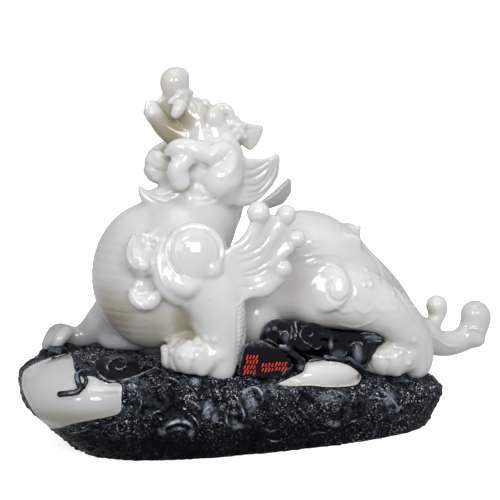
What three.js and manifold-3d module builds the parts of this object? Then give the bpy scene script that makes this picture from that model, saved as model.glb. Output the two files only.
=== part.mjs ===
import * as THREE from 'three';
import * as BufferGeometryUtils from 'three/addons/utils/BufferGeometryUtils.js';
import Module from 'manifold-3d';

// A crouching pixiu in white cast resin on a black rock with cloud scrolls.
// Millimetres, +Z up, the head towards -X, the carved front towards -Y.
// The origin is the middle of the rock's flat underside.

// Sizes of the rock
const BOW_REACH = 194; // from the middle to the tip at the head end
const STERN_REACH = 169; // from the middle to the tip at the tail end
const ROCK_DEPTH = 150;
const FOOT_BOW_REACH = 148; // the flat underside, head end
const FOOT_STERN_REACH = 129; // the flat underside, tail end
const FOOT_DEPTH = 138;
const HEAD_END_HEIGHT = 77; // the top of the rock under the far forepaw
const TAIL_END_HEIGHT = 46; // the top of the rock behind the hind paws
const BACK_RISE = 10; // how much higher the far edge of the top lies than the near edge
const BOW_LEVEL = 56; // height of the tip at the head end
const STERN_LEVEL = 24; // height of the tip at the tail end
const SIDE_LEVEL = 30; // height where the long sides are widest
const RIM_INSET = 10; // how far the top edge lies inside the widest outline
const RIM_DROP = 7; // how far the top edge is rounded off
const CHIP = 2.4; // depth of the chisel marks

// Sizes of the figure
const FIGURE_HEIGHT = 237; // from the sole of the near forepaw to the top of the nose
const SEAT_GAP = 0.3; // between the figure and the rock, where they are glued
const WELD = 0.25; // edges shorter than this are closed up where forms are joined
const POINTED = 4.5; // an end thinner than this comes to a point

// The figure and the rock's carving are drawn over a rock of these sizes, and follow the real ones.
const DRAWN = {
  sole: 64, soleX: -62, soleY: -50, nose: 301, bow: 194, stern: 169,
  top: { farPaw: -150, heel: 150, headEnd: 77, tailEnd: 46, rise: 10, depth: 150 },
};
const part = FIGURE_HEIGHT / (DRAWN.nose - DRAWN.sole);

// The two sides of the figure, as signs of Y
const NEAR = -1;
const FAR = 1;

const wasm = await Module();
wasm.setup();

// A closed three.js geometry as a solid for joining and cutting
function solidOf(geometry) {
  geometry.deleteAttribute('normal');
  geometry.deleteAttribute('uv');
  const merged = BufferGeometryUtils.mergeVertices(geometry, 1e-4);
  const vertProperties = new Float32Array(merged.attributes.position.array);
  const triVerts = new Uint32Array(merged.index.array);
  const mesh = new wasm.Mesh({ numProp: 3, vertProperties, triVerts, tolerance: WELD });
  mesh.merge();
  return new wasm.Manifold(mesh);
}

function joined(solids) {
  return solids.reduce((whole, solid) => whole.add(solid));
}

function meshOf(name, solid, material) {
  const { vertProperties, triVerts } = solid.getMesh();
  const geometry = new THREE.BufferGeometry();
  geometry.setAttribute('position', new THREE.BufferAttribute(vertProperties, 3));
  geometry.setIndex(new THREE.BufferAttribute(triVerts, 1));
  const mesh = new THREE.Mesh(geometry, material);
  mesh.name = name;
  return mesh;
}

// The height of the rock's top, a plane that falls to the tail and to the near side
function topAt(x, y, { farPaw, heel, headEnd, tailEnd, rise, depth }) {
  const along = (x - farPaw) / (heel - farPaw);
  return THREE.MathUtils.lerp(headEnd, tailEnd, along) + (rise * y) / depth;
}

const realTop = {
  farPaw: DRAWN.top.farPaw * part, heel: DRAWN.top.heel * part, headEnd: HEAD_END_HEIGHT,
  tailEnd: TAIL_END_HEIGHT, rise: BACK_RISE, depth: ROCK_DEPTH,
};
const rockTop = (x, y) => topAt(x, y, realTop);
const stand = rockTop(DRAWN.soleX * part, DRAWN.soleY * part);

// Where a drawn point of the figure lies
function onFigure(x, y, z) {
  return new THREE.Vector3(x * part, y * part, stand + (z - DRAWN.sole) * part);
}

// Where a drawn point of the rock's carving lies
function onStone(x, y, z) {
  const along = x * (x < 0 ? BOW_REACH / DRAWN.bow : STERN_REACH / DRAWN.stern);
  const across = (y * ROCK_DEPTH) / DRAWN.top.depth;
  return new THREE.Vector3(along, across, (z * rockTop(along, across)) / topAt(x, y, DRAWN.top));
}

const figure = { at: onFigure, unit: part };
const stone = { at: onStone, unit: ROCK_DEPTH / DRAWN.top.depth };

// A drawn point that stands a number of parts over the rock
function onRock(x, y, lift) {
  return [x, y, DRAWN.sole + (rockTop(x * part, y * part) - stand) / part + lift];
}

// An ellipsoid: its middle, its three radii and its turn in degrees about X, Y and Z
function mass(centre, radii, { turn = [0, 0, 0], sides = 6, rings = 4, grow = 0, of = figure } = {}) {
  const geometry = new THREE.SphereGeometry(1, sides, rings);
  geometry.rotateX(Math.PI / 2);
  geometry.scale(...radii.map((radius) => radius * of.unit + grow));
  geometry.rotateX(THREE.MathUtils.degToRad(turn[0]));
  geometry.rotateY(THREE.MathUtils.degToRad(turn[1]));
  geometry.rotateZ(THREE.MathUtils.degToRad(turn[2]));
  geometry.translate(...of.at(...centre).toArray());
  return solidOf(geometry);
}

// A rounded body of changing thickness along a curve, its rows being x, y, z and radius.
// Its section is an ellipse: wide towards the given direction, and flat times that across it.
function limb(rows, { sides = 5, steps = 1, flat = 1, wide = [0, 1, 0], grow = 0, of = figure } = {}) {
  const points = rows.map(([x, y, z]) => of.at(x, y, z));
  const curve = new THREE.CatmullRomCurve3(points, false, 'centripetal');
  const bodyRings = (rows.length - 1) * steps;
  const rings = [];
  for (let i = 0; i <= bodyRings; i += 1) {
    const t = i / bodyRings;
    const row = Math.min(Math.floor(t * (rows.length - 1)), rows.length - 2);
    const share = t * (rows.length - 1) - row;
    const radius = THREE.MathUtils.lerp(rows[row][3], rows[row + 1][3], share) * of.unit + grow;
    rings.push({ middle: curve.getPoint(t), tangent: curve.getTangent(t), radius });
  }
  const cap = (ring, sign) => {
    const reach = (share, radius) => ({
      middle: ring.middle.clone().addScaledVector(ring.tangent, sign * ring.radius * share),
      tangent: ring.tangent,
      radius: ring.radius * radius,
    });
    return ring.radius < POINTED ? [reach(1, 0)] : [reach(0.7, 0.7), reach(1, 0)];
  };
  rings.unshift(...cap(rings[0], -1).reverse());
  rings.push(...cap(rings[rings.length - 1], 1));

  const geometry = new THREE.SphereGeometry(1, sides, rings.length - 1);
  const position = geometry.attributes.position;
  const direction = new THREE.Vector3(...wide);
  rings.forEach((ring, level) => {
    const across = direction.clone().addScaledVector(ring.tangent, -direction.dot(ring.tangent)).normalize();
    const thin = new THREE.Vector3().crossVectors(across, ring.tangent);
    for (let side = 0; side <= sides; side += 1) {
      const angle = (side / sides) * 2 * Math.PI;
      const place = ring.middle.clone();
      place.addScaledVector(across, ring.radius * Math.cos(angle));
      place.addScaledVector(thin, ring.radius * flat * Math.sin(angle));
      position.setXYZ(level * (sides + 1) + side, place.x, place.y, place.z);
    }
  });
  return solidOf(geometry);
}

// A spiral ridge in the plane whose normal is given, from its outer end in to its eye
function volute(centre, normal, { radius, eye, turns, thick, start = 0, hand = 1, ...options }) {
  const STEPS = 6; // to a turn
  const axis = new THREE.Vector3(...normal).normalize();
  const up = new THREE.Vector3(0, 0, 1).addScaledVector(axis, -axis.z).normalize();
  const side = new THREE.Vector3().crossVectors(up, axis);
  const count = Math.round(STEPS * turns);
  const rows = [];
  for (let i = 0; i <= count; i += 1) {
    const share = i / count;
    const angle = THREE.MathUtils.degToRad(start) + hand * share * turns * 2 * Math.PI;
    const reach = THREE.MathUtils.lerp(radius, eye, share);
    const place = new THREE.Vector3(...centre);
    place.addScaledVector(side, reach * Math.cos(angle)).addScaledVector(up, reach * Math.sin(angle));
    rows.push([place.x, place.y, place.z, THREE.MathUtils.lerp(thick[0], thick[1], share)]);
  }
  return limb(rows, { sides: 3, wide: normal, ...options });
}

// The chest: an egg whose front is stepped into plates, like shingles from throat to belly
function chest() {
  const [SIDES, PLATES] = [11, 8];
  const [MIDDLE, RADII] = [[-82, 0, 135], [50, 48, 59]];
  const [THROAT, BELLY] = [52, -48];
  const PLATE_STEP = 3.5;
  const tilts = [72];
  for (let i = 0; i < PLATES; i += 1) {
    const from = THREE.MathUtils.lerp(THROAT, BELLY, i / PLATES);
    const to = THREE.MathUtils.lerp(THROAT, BELLY, (i + 0.8) / PLATES);
    tilts.push(from, to);
  }
  tilts.push(BELLY, -64);
  const geometry = new THREE.SphereGeometry(1, SIDES, tilts.length + 1);
  const position = geometry.attributes.position;
  const put = (ring, side, unit, step) => {
    const place = onFigure(...MIDDLE.map((value, axis) => value + unit[axis] * (RADII[axis] + step)));
    position.setXYZ(ring * (SIDES + 1) + side, place.x, place.y, place.z);
  };
  [90, ...tilts, -90].forEach((degrees, ring) => {
    const tilt = THREE.MathUtils.degToRad(degrees);
    const onPlate = ring > 1 && ring < tilts.length && ring % 2 === 1;
    for (let side = 0; side <= SIDES; side += 1) {
      const turn = (side / SIDES) * 2 * Math.PI;
      const frontness = Math.max(0, -Math.cos(turn)) ** 0.5;
      const unit = [Math.cos(tilt) * Math.cos(turn), Math.cos(tilt) * Math.sin(turn), Math.sin(tilt)];
      put(ring, side, unit, onPlate ? PLATE_STEP * frontness : 0);
    }
  });
  return solidOf(geometry);
}

// The trunk behind the chest: waist, hump and rump
function trunk() {
  return limb([
    [-70, 0, 132, 44], [-32, 0, 122, 37], [12, 0, 127, 41], [50, 0, 134, 45],
    [86, 0, 113, 38], [116, 0, 92, 29], [142, 0, 76, 19], [160, 0, 67, 11],
  ], { sides: 11 });
}

// The cloak over the hump, with its rolled edge and the corner that stands off the back
function cloak() {
  const edge = (side) => limb([
    [97, side * 4, 160, 4], [96, side * 25, 150, 5], [80, side * 38, 134, 5], [30, side * 43, 131, 4],
  ], { sides: 4 });
  return [
    limb([[48, 0, 134, 44], [72, 0, 135, 42], [88, 0, 138, 30], [94, 0, 143, 20]], { sides: 11 }),
    limb([[86, 0, 156, 9], [99, 0, 163, 2.5]], { sides: 4 }),
    edge(NEAR),
    edge(FAR),
  ];
}

// One paw: a pad and four toes in a row, each bent down from its knuckle
function paw(x, y, { length, width, height }) {
  const TOES = 4;
  const toeSize = width / 5;
  const pad = mass(onRock(x, y, height * 0.44), [length / 2, width / 2, height * 0.58], { sides: 8, rings: 5 });
  const toes = Array.from({ length: TOES }, (_, i) => {
    const across = (i - (TOES - 1) / 2) / ((TOES - 1) / 2);
    const toeY = y + across * (width / 2 - toeSize * 0.75);
    const front = x - length / 2 + toeSize * 0.6 + 5 * across * across;
    return limb([
      [...onRock(front + 1.5 * toeSize, toeY, height * 0.7), toeSize],
      [...onRock(front, toeY, height * 0.32), toeSize],
    ], { sides: 4 });
  });
  return [pad, ...toes];
}

function nearForeleg() {
  return [
    limb([
      [-70, -22, 168, 30], [-62, -30, 148, 32], [-50, -43, 122, 25], [-45, -46, 100, 20],
      [...onRock(-44, -46, 22), 18], [...onRock(-43, -46, 12), 17],
    ], { sides: 9 }),
    ...paw(-61, -48, { length: 66, width: 38, height: 29 }),
    limb([[-27, -46, 116, 3], [-24, -46, 98, 5], [-25, -46, 80, 3]], { sides: 4 }),
  ];
}

function farForeleg() {
  return [
    limb([
      [-72, 20, 156, 28], [-84, 30, 124, 26], [-104, 35, 100, 20], [-119, 38, 91, 15],
      [-134, 38, 83, 7.5], [-146, 38, 86, 8],
    ], { sides: 7 }),
    ...paw(-148, 38, { length: 34, width: 27, height: 14 }),
  ];
}

// The scroll on the shoulder with its balls, and the flames between shoulder and chest
function shoulderScroll(side) {
  const scroll = volute([-69, side * 50, 161], [-0.3, side * 0.92, 0.2], {
    radius: 22, eye: 9, turns: 1.25, thick: [7, 5], start: 200, hand: side,
  });
  const dome = mass([-68, side * 48, 162], [14, 9, 14]);
  const nearBalls = [
    mass([-57, side * 56, 149], [9, 8, 9]),
    mass([-76, side * 51, 136], [12, 10, 11]),
    mass([-91, side * 43, 146], [9, 8, 9]),
  ];
  const nearFlames = [
    [[-97, side * 36, 178, 2], [-107, side * 35, 168, 6], [-106, side * 39, 157, 8]],
    [[-116, side * 30, 148, 2], [-111, side * 35, 134, 6], [-101, side * 39, 124, 7]],
  ].map((rows) => limb(rows, { sides: 4 }));
  return side === NEAR ? [scroll, dome, ...nearBalls, ...nearFlames] : [scroll, dome];
}

// The hind leg: thigh, lower leg along the rump, heel and paw; the near thigh is carved
function hindleg(side) {
  const leg = limb([
    [48, side * 26, 112, 25], [74, side * 29, 110, 28], [104, side * 36, 92, 22], [124, side * 38, 78, 17],
    [...onRock(136, side * 38, 22), 13], [...onRock(136, side * 38, 10), 12],
  ], { sides: side === NEAR ? 8 : 6 });
  const foot = paw(116, side * 40, { length: 62, width: 36, height: 28 });
  const nearCarving = [
    volute([64, side * 52, 114], [0, side, 0.1], {
      radius: 15, eye: 5, turns: 1.1, thick: [5, 4], start: 60, hand: -side,
    }),
    limb([[84, side * 50, 106, 2], [92, side * 53, 100, 6], [104, side * 50, 99, 2]], { sides: 3 }),
    limb([[102, side * 50, 100, 2], [110, side * 52, 93, 6], [120, side * 48, 91, 2]], { sides: 3 }),
  ];
  return side === NEAR ? [leg, ...foot, ...nearCarving] : [leg, ...foot];
}

// The wing: plumes that sweep back and up from the shoulder, each ending in a ball
function wing(side) {
  const top = [[-50, 43, 156, 9.5], [-34, 51, 161, 9], [-22, 57, 174, 7], [-18, 59, 190, 9.5]];
  const upper = [[-48, 45, 146, 9], [-24, 53, 150, 9], [-2, 59, 168, 7], [5, 60, 187, 9.5]];
  const lower = [[-46, 45, 136, 9], [-20, 54, 138, 9], [2, 60, 150, 7], [14, 62, 168, 9.5]];
  const lowest = [[-44, 44, 126, 9], [-22, 54, 124, 9], [-6, 59, 132, 7], [0, 62, 147, 9.5]];
  const farUpper = [[-48, 45, 146, 9], [-30, 53, 148, 9], [-12, 59, 156, 7], [-4, 61, 170, 9.5]];
  const plumes = side === NEAR ? [top, upper, lower, lowest] : [top, farUpper, lowest];
  const turned = ([x, y, z, radius]) => [x, side * y, z, radius];
  return [
    mass([side === NEAR ? -18 : -28, side * 43, 144], [26, 14, 24], { sides: 7 }),
    ...plumes.map((rows) => limb(rows.map(turned), { sides: 5 })),
  ];
}

// The tall plume of the far wing, which stands up over the back
function farPlume() {
  return limb([[24, 26, 148, 12], [33, 31, 170, 11], [41, 32, 188, 9], [51, 31, 206, 1.5]], {
    flat: 0.5, wide: [1, 0.2, -0.4],
  });
}

function neck() {
  return limb([
    [-74, 0, 150, 46], [-50, 0, 180, 38], [-44, 0, 202, 31], [-38, 0, 226, 27], [-36, 0, 244, 24],
  ], { sides: 9, flat: 0.95 });
}

// The head, raised with its mouth open and the nose swollen into a ball
function head() {
  const bones = joined([
    mass([-33, 0, 247], [27, 24, 21], { turn: [0, 20, 0], sides: 8, rings: 5 }),
    limb([
      [-40, 0, 251, 19], [-53, 0, 264, 15], [-62, 0, 276, 11.5], [-66, 0, 287, 13.5],
      [-61, 0, 296, 8], [-57, 0, 300, 2.5],
    ], { sides: 8 }),
    limb([[-44, 0, 238, 18], [-62, 0, 248, 15], [-75, 0, 259, 12.5], [-82, 0, 268, 9]], { sides: 7 }),
  ]);
  const mouth = limb([[-104, 0, 288, 26], [-76, 0, 267, 22], [-56, 0, 255, 20]], { sides: 4, flat: 0.3 });
  const tongue = limb([[-56, 0, 252, 9], [-68, 0, 264, 8], [-76, 0, 275, 5]], { sides: 5 });
  const features = (side) => [
    limb([[-57, side * 14, 280, 5], [-68, side * 17, 269, 6]], { sides: 4 }),
    mass([-40, side * 18, 259], [9, 9, 9]),
    limb([[-45, side * 10, 267, 6], [-30, side * 13, 265, 7], [-18, side * 16, 256, 4]], { sides: 4 }),
    limb([[-22, side * 21, 244, 10], [-6, side * 20, 247, 9], [7, side * 15, 254, 1.5]], {
      sides: 4, flat: 0.5, wide: [0, 0, 1],
    }),
  ];
  return [
    bones.subtract(mouth),
    tongue,
    mass([-34, 0, 242], [20, 27, 12], { turn: [0, 30, 0], sides: 7, rings: 4 }),
    limb([[-49, 0, 277, 3], [-55, 0, 277, 8]], { sides: 4 }),
    ...features(NEAR),
    ...features(FAR),
  ];
}

// The mane: a swelling lock behind each cheek, a fan behind it, and a curl under the jaw
function mane(side) {
  const [STRANDS, SPREAD] = side === NEAR ? [4, 10] : [2, 26];
  const fan = Array.from({ length: STRANDS }, (_, i) => {
    const drop = SPREAD * i;
    return limb([
      [-26, side * 30, 230 - drop, 9], [-8 + 0.1 * drop, side * 34, 224 - drop * 0.9, 9],
      [4 + 0.25 * drop, side * 37, 226 - drop * 0.62, 7], [10, side * 38, 235 - drop * 0.2, 2],
    ], { sides: 3, wide: [0, side, 0] });
  });
  const lock = limb([
    [-24, side * 24, 238, 8], [-24, side * 29, 225, 14], [-35, side * 30, 211, 18], [-33, side * 24, 198, 11],
  ], { sides: 7 });
  const nearCurl = [
    [-46, -22, 232, 7], [-60, -25, 238, 8], [-71, -24, 234, 8], [-75, -21, 222, 8], [-67, -25, 213, 9],
  ];
  const farCurl = [[-50, 18, 226, 10], [-66, 15, 228, 8], [-79, 13, 221, 8], [-72, 13, 211, 12]];
  return [...fan, lock, limb(side === NEAR ? nearCurl : farCurl)];
}

// The pointed lock of the beard under the chin
function beard() {
  return limb([[-95, 0, 208, 2], [-88, 0, 199, 7], [-76, 0, 194, 12], [-60, 0, 196, 16]], { sides: 7 });
}

function tail() {
  return [
    limb([[158, 0, 70, 10], [168, 3, 78, 8], [174, 5, 90, 10]], { sides: 7 }),
    limb([
      [154, 0, 66, 12], [172, 3, 58, 10], [191, 5, 57, 10.5], [208, 5, 63, 11.5],
      [216, 5, 76, 11], [208, 5, 86, 9.5],
    ], { sides: 7, steps: 2 }),
  ];
}

// A repeatable number from -1 to 1 for one place on the rock
function chipAt(level, side) {
  const value = Math.sin(level * 12.9898 + side * 78.233) * 43758.5453;
  return 2 * (value - Math.floor(value)) - 1;
}

// The point of a rounded outline at an angle, with its own reach to each end
function outline(angle, bow, stern, halfDepth) {
  const SQUARENESS = 0.78;
  const cos = Math.cos(angle);
  const sin = Math.sin(angle);
  const reach = cos < 0 ? bow : stern;
  return [
    Math.sign(cos) * reach * Math.abs(cos) ** SQUARENESS,
    Math.sign(sin) * halfDepth * Math.abs(sin) ** SQUARENESS,
  ];
}

// The rock: level underside, sides that lean out to the tips, and the tilted top
function rockBody(grow) {
  const SIDES = 30;
  const BOW_RIM_INSET = 2.4 * RIM_INSET;
  const widest = (angle) => outline(angle, BOW_REACH, STERN_REACH, ROCK_DEPTH / 2);
  const foot = (angle) => outline(angle, FOOT_BOW_REACH, FOOT_STERN_REACH, FOOT_DEPTH / 2);
  const rim = (angle) => outline(
    angle, BOW_REACH - BOW_RIM_INSET, STERN_REACH - RIM_INSET, ROCK_DEPTH / 2 - RIM_INSET,
  );
  const widestLevel = (angle) => {
    const cos = Math.cos(angle);
    return THREE.MathUtils.lerp(SIDE_LEVEL, cos < 0 ? BOW_LEVEL : STERN_LEVEL, cos * cos);
  };
  const between = (from, to, share, angle) => {
    const [a, b] = [from(angle), to(angle)];
    return [THREE.MathUtils.lerp(a[0], b[0], share), THREE.MathUtils.lerp(a[1], b[1], share)];
  };
  const top = (share, drop) => (angle) => {
    const [x, y] = rim(angle).map((value) => value * share);
    return [x, y, rockTop(x, y) - drop];
  };
  const flank = (share, level) => (angle) => [...between(foot, widest, share, angle), widestLevel(angle) * level];
  const shoulder = (share) => (angle) => {
    const [x, y] = between(widest, rim, share, angle);
    return [x, y, THREE.MathUtils.lerp(widestLevel(angle), rockTop(x, y) - RIM_DROP, share)];
  };
  const levels = [
    { place: (angle) => [...foot(angle), 0], chip: 0 },
    { place: flank(0.4, 0.22), chip: 0.7 },
    { place: flank(0.8, 0.55), chip: 1 },
    { place: flank(1, 1), chip: 1 },
    { place: shoulder(0.45), chip: 1 },
    { place: shoulder(0.85), chip: 0.8 },
    { place: top(1, RIM_DROP * 0.4), chip: 0.6 },
    { place: top(0.8, 0), chip: 0.4 },
  ];
  const geometry = new THREE.SphereGeometry(1, SIDES, levels.length + 1);
  const position = geometry.attributes.position;
  const put = (level, i, x, y, z) => position.setXYZ(level * (SIDES + 1) + i, x, y, z);
  levels.forEach(({ place, chip }, level) => {
    for (let i = 0; i <= SIDES; i += 1) {
      const angle = (-i / SIDES) * 2 * Math.PI;
      const [x, y, z] = place(angle);
      const depth = chip * CHIP * chipAt(level, i % SIDES);
      const swell = 1 + (depth + grow) / Math.hypot(x, y);
      put(level + 1, i, x * swell, y * swell, z > 0 ? z + 0.5 * depth + grow : z - grow);
    }
  });
  for (let i = 0; i <= SIDES; i += 1) {
    put(0, i, 0, 0, -grow);
    put(levels.length + 1, i, 0, 0, rockTop(0, 0) + grow);
  }
  return solidOf(geometry);
}

// The carving on the rock: the smooth pebble of the bow, the clouds and the swirls,
// with its places across given from the near side inwards
function rockCarving(grow) {
  const ball = (centre, radii, options = {}) => mass(centre, radii, { grow, of: stone, ...options });
  const ridge = (rows, options = {}) => limb(rows, { grow, of: stone, ...options });
  const near = (inset) => inset - DRAWN.top.depth / 2;
  const curl = (centre, radius, options) => volute(centre, [-0.1, -1, 0.15], {
    radius, eye: radius / 3, turns: 1.1, thick: [6, 5], flat: 0.65, grow, of: stone, ...options,
  });
  return [
    ball([-146, near(59), 50], [49, -near(23), 30], { sides: 11, rings: 7 }),
    volute([-124, near(16), 68], [-0.35, -1, 0.5], {
      radius: 17, eye: 5, turns: 1.4, thick: [8, 6], start: 20, hand: -1, flat: 0.65, grow, of: stone,
    }),
    ridge([
      [-140, near(19), 67, 5], [-160, near(27), 67, 5], [-152, near(21), 58, 5], [-150, near(17), 49, 5],
      [-172, near(29), 45, 3],
    ], { sides: 3, wide: [-0.5, -1, 0.3], flat: 0.7 }),
    ridge([[-16, 2, 57, 38], [30, 0, 60, 36], [78, 0, 53, 32]], { sides: 8, flat: 0.92 }),
    ball([6, near(37), 66], [17, 14, 19], { sides: 7, rings: 5 }),
    ball([27, near(37), 66], [16, 15, 18], { sides: 7, rings: 5 }),
    curl([5, near(25), 70], 9, { start: 90, hand: 1 }),
    curl([28, near(25), 71], 8, { start: 60, hand: -1 }),
    ball([50, near(35), 60], [12, 11, 13]),
    ball([67, near(33), 56], [12, 10, 14]),
    ridge([[32, near(40), 82, 7], [58, near(37), 78, 7], [92, near(33), 69, 3]]),
    ridge([[2, near(22), 55, 6], [26, near(20), 54, 7], [46, near(20), 52, 5]]),
    ball([-32, near(23), 58], [26, 18, 16], { turn: [20, 10, 0] }),
    curl([-30, near(4), 36], 11, { start: 40, hand: 1 }),
    curl([-76, near(4), 26], 14, { start: 120, hand: -1 }),
    ridge([[-112, near(13), 14, 3], [-92, near(6), 21, 6], [-74, near(5), 10, 3]], { sides: 4 }),
    curl([16, near(4), 28], 9, { start: 20, hand: -1 }),
  ];
}

function rock(grow) {
  return joined([rockBody(grow), ...rockCarving(grow)]);
}

const animal = joined([
  chest(),
  trunk(),
  ...cloak(),
  ...nearForeleg(),
  ...farForeleg(),
  ...shoulderScroll(NEAR),
  ...shoulderScroll(FAR),
  ...hindleg(NEAR),
  ...hindleg(FAR),
  ...wing(NEAR),
  ...wing(FAR),
  farPlume(),
  neck(),
  ...head(),
  ...mane(NEAR),
  ...mane(FAR),
  beard(),
  ...tail(),
]).subtract(rock(SEAT_GAP));

const resin = new THREE.MeshStandardMaterial({ color: '#e9eae4', roughness: 0.2, metalness: 0 });
const blackSkin = new THREE.MeshStandardMaterial({ color: '#15181c', roughness: 0.45, metalness: 0 });

const object = new THREE.Group();
object.add(meshOf('pixiu', animal, resin));
object.add(meshOf('rock_base', rock(0), blackSkin));

export default object;
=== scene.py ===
"""Looks of a pixiu figure of jade-white resin that stands on a rough black rock.

Forms are modelled in millimetres and turned to metres when a piece is finished. A traced row is
(across, down, depth, radius): a place on the 500 by 500 drawing sheet that the camera fills, the Y at
which it lies, and its radius. A placed row is (x, y, z, radius) in the frame.
"""

from __future__ import annotations

import logging
import math
from dataclasses import dataclass, field
from enum import Enum
from itertools import pairwise
from typing import Callable, Iterable, Protocol, Sequence

import bmesh
import bpy
import numpy as np
from mathutils import Euler, Matrix, Vector, noise
from mathutils.bvhtree import BVHTree
from mathutils.kdtree import KDTree


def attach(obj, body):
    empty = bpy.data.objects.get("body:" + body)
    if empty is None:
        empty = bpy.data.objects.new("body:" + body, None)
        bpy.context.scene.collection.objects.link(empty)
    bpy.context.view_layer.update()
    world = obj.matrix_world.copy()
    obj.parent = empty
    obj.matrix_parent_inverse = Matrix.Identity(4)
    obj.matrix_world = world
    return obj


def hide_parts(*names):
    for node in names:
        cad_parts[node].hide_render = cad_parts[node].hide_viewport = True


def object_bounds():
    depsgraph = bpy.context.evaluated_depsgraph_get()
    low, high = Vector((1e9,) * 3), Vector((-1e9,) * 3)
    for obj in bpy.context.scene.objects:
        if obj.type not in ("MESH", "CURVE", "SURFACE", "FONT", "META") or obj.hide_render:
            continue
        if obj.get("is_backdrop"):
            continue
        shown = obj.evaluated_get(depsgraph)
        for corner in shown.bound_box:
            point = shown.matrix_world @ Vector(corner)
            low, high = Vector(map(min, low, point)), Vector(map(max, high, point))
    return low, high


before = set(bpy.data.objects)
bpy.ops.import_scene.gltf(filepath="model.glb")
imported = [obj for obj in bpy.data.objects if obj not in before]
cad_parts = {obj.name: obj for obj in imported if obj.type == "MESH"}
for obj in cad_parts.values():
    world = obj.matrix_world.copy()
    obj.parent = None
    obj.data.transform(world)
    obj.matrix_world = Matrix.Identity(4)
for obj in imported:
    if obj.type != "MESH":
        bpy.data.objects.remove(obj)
CAD_BOX = [list(corner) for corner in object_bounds()]

log = logging.getLogger("pixiu")

MM = 0.001
SOLE_LIFT = 0.57
TRIANGLES = 188_000

Row = tuple[float, ...]
Rows = Sequence[Row]
Stations = list[tuple[Vector, float]]
Line = Sequence[tuple[float, float]]
Spots = Sequence[tuple[Vector, Vector]]


class Side(Enum):
    """The side of the figure that a form is on."""

    NEAR = 1
    FAR = -1


NEAR_ONLY = (Side.NEAR,)
BOTH = (Side.NEAR, Side.FAR)


def toward(azimuth: float, elevation: float) -> Vector:
    """Direction from the figure to a place round it, with angles in radians."""
    level = math.cos(elevation)
    return Vector((math.sin(azimuth) * level, -math.cos(azimuth) * level, math.sin(elevation)))


@dataclass(frozen=True)
class Viewpoint:
    """The place that the figure is drawn from, and its drawing sheet."""

    target: tuple[float, float, float] = (0.0, 0.0, 151.0)
    distance: float = 1560.0
    azimuth: float = math.radians(-22)
    elevation: float = math.radians(9)
    lens: float = 138.7
    sensor: float = 36.0
    sheet: float = 500.0

    @property
    def back(self) -> Vector:
        """Direction from the figure to the viewer."""
        return toward(self.azimuth, self.elevation)

    @property
    def right(self) -> Vector:
        """Direction to the right of the sheet."""
        return Vector((math.cos(self.azimuth), math.sin(self.azimuth), 0.0))

    @property
    def up(self) -> Vector:
        """Direction to the top of the sheet."""
        return self.back.cross(self.right)

    @property
    def station(self) -> Vector:
        """Place of the viewer's eye."""
        return Vector(self.target) + self.back * self.distance

    @property
    def focal(self) -> float:
        """Focal length in units of the sheet."""
        return self.lens / self.sensor * self.sheet

    def ray(self, across: float, down: float) -> Vector:
        """Direction in which a place of the sheet is seen.

        Args:
            across: Place from the sheet's left edge.
            down: Place from the sheet's top edge.

        Returns:
            The unit direction away from the viewer.
        """
        half = self.sheet / 2
        aim = self.right * ((across - half) / self.focal) + self.up * ((half - down) / self.focal)
        return (aim - self.back).normalized()

    def lift(self, across: float, down: float, depth: float) -> Vector:
        """Place in the frame of a point of the sheet that lies at a given Y.

        Args:
            across: Place from the sheet's left edge.
            down: Place from the sheet's top edge.
            depth: Y of the point in millimetres.

        Returns:
            The point in millimetres.
        """
        aim = self.ray(across, down)
        return self.station + aim * ((depth - self.station.y) / aim.y)

    def sheet_of(self, points: np.ndarray) -> np.ndarray:
        """Places on the sheet of points in the frame.

        Args:
            points: Rows of x, y, z in millimetres.

        Returns:
            Rows of across, down.
        """
        from_eye = points - np.array(self.station)
        far = -(from_eye @ np.array(self.back))
        scale = self.focal / far
        half = self.sheet / 2
        across = half + (from_eye @ np.array(self.right)) * scale
        return np.stack([across, half - (from_eye @ np.array(self.up)) * scale], axis=1)


VIEW = Viewpoint()


def traced(rows: Rows) -> Stations:
    """Stations of rows that are drawn on the sheet."""
    return [(VIEW.lift(across, down, depth), radius) for across, down, depth, radius in rows]


def stood(row: Row) -> Vector:
    """Place of a row that is given in the frame."""
    x, y, z, *_ = row
    return Vector((x, y, z + SOLE_LIFT))


def placed(rows: Rows) -> Stations:
    """Stations of rows that are given in the frame."""
    return [(stood(row), row[3]) for row in rows]


def flowing(points: np.ndarray, gap: float) -> np.ndarray:
    """Points on one smooth line through the given ones.

    Args:
        points: Rows of coordinates, with any number of columns.
        gap: Greatest distance between two points of the line.

    Returns:
        The line's points, with the given ones among them.
    """
    ends = np.vstack([2 * points[0] - points[1], points, 2 * points[-1] - points[-2]])
    line = []
    for a, b, c, d in zip(ends, ends[1:], ends[2:], ends[3:]):
        steps = max(1, math.ceil(float(np.linalg.norm((c - b)[:3])) / gap))
        for t in np.arange(steps) / steps:
            bend, twist = 2 * a - 5 * b + 4 * c - d, 3 * b - 3 * c + d - a
            line.append(0.5 * (2 * b + (c - a) * t + bend * t**2 + twist * t**3))
    line.append(points[-1])
    return np.array(line)


def tilted(axis: Vector, across: Vector) -> Matrix:
    """A turn that takes Z to an axis and X as near as may be to another direction.

    Args:
        axis: Where Z goes.
        across: Where X should go.

    Returns:
        The turn.
    """
    z = axis.normalized()
    x = (across - z * across.dot(z)).normalized()
    return Matrix((x, z.cross(x), z)).transposed()


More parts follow.
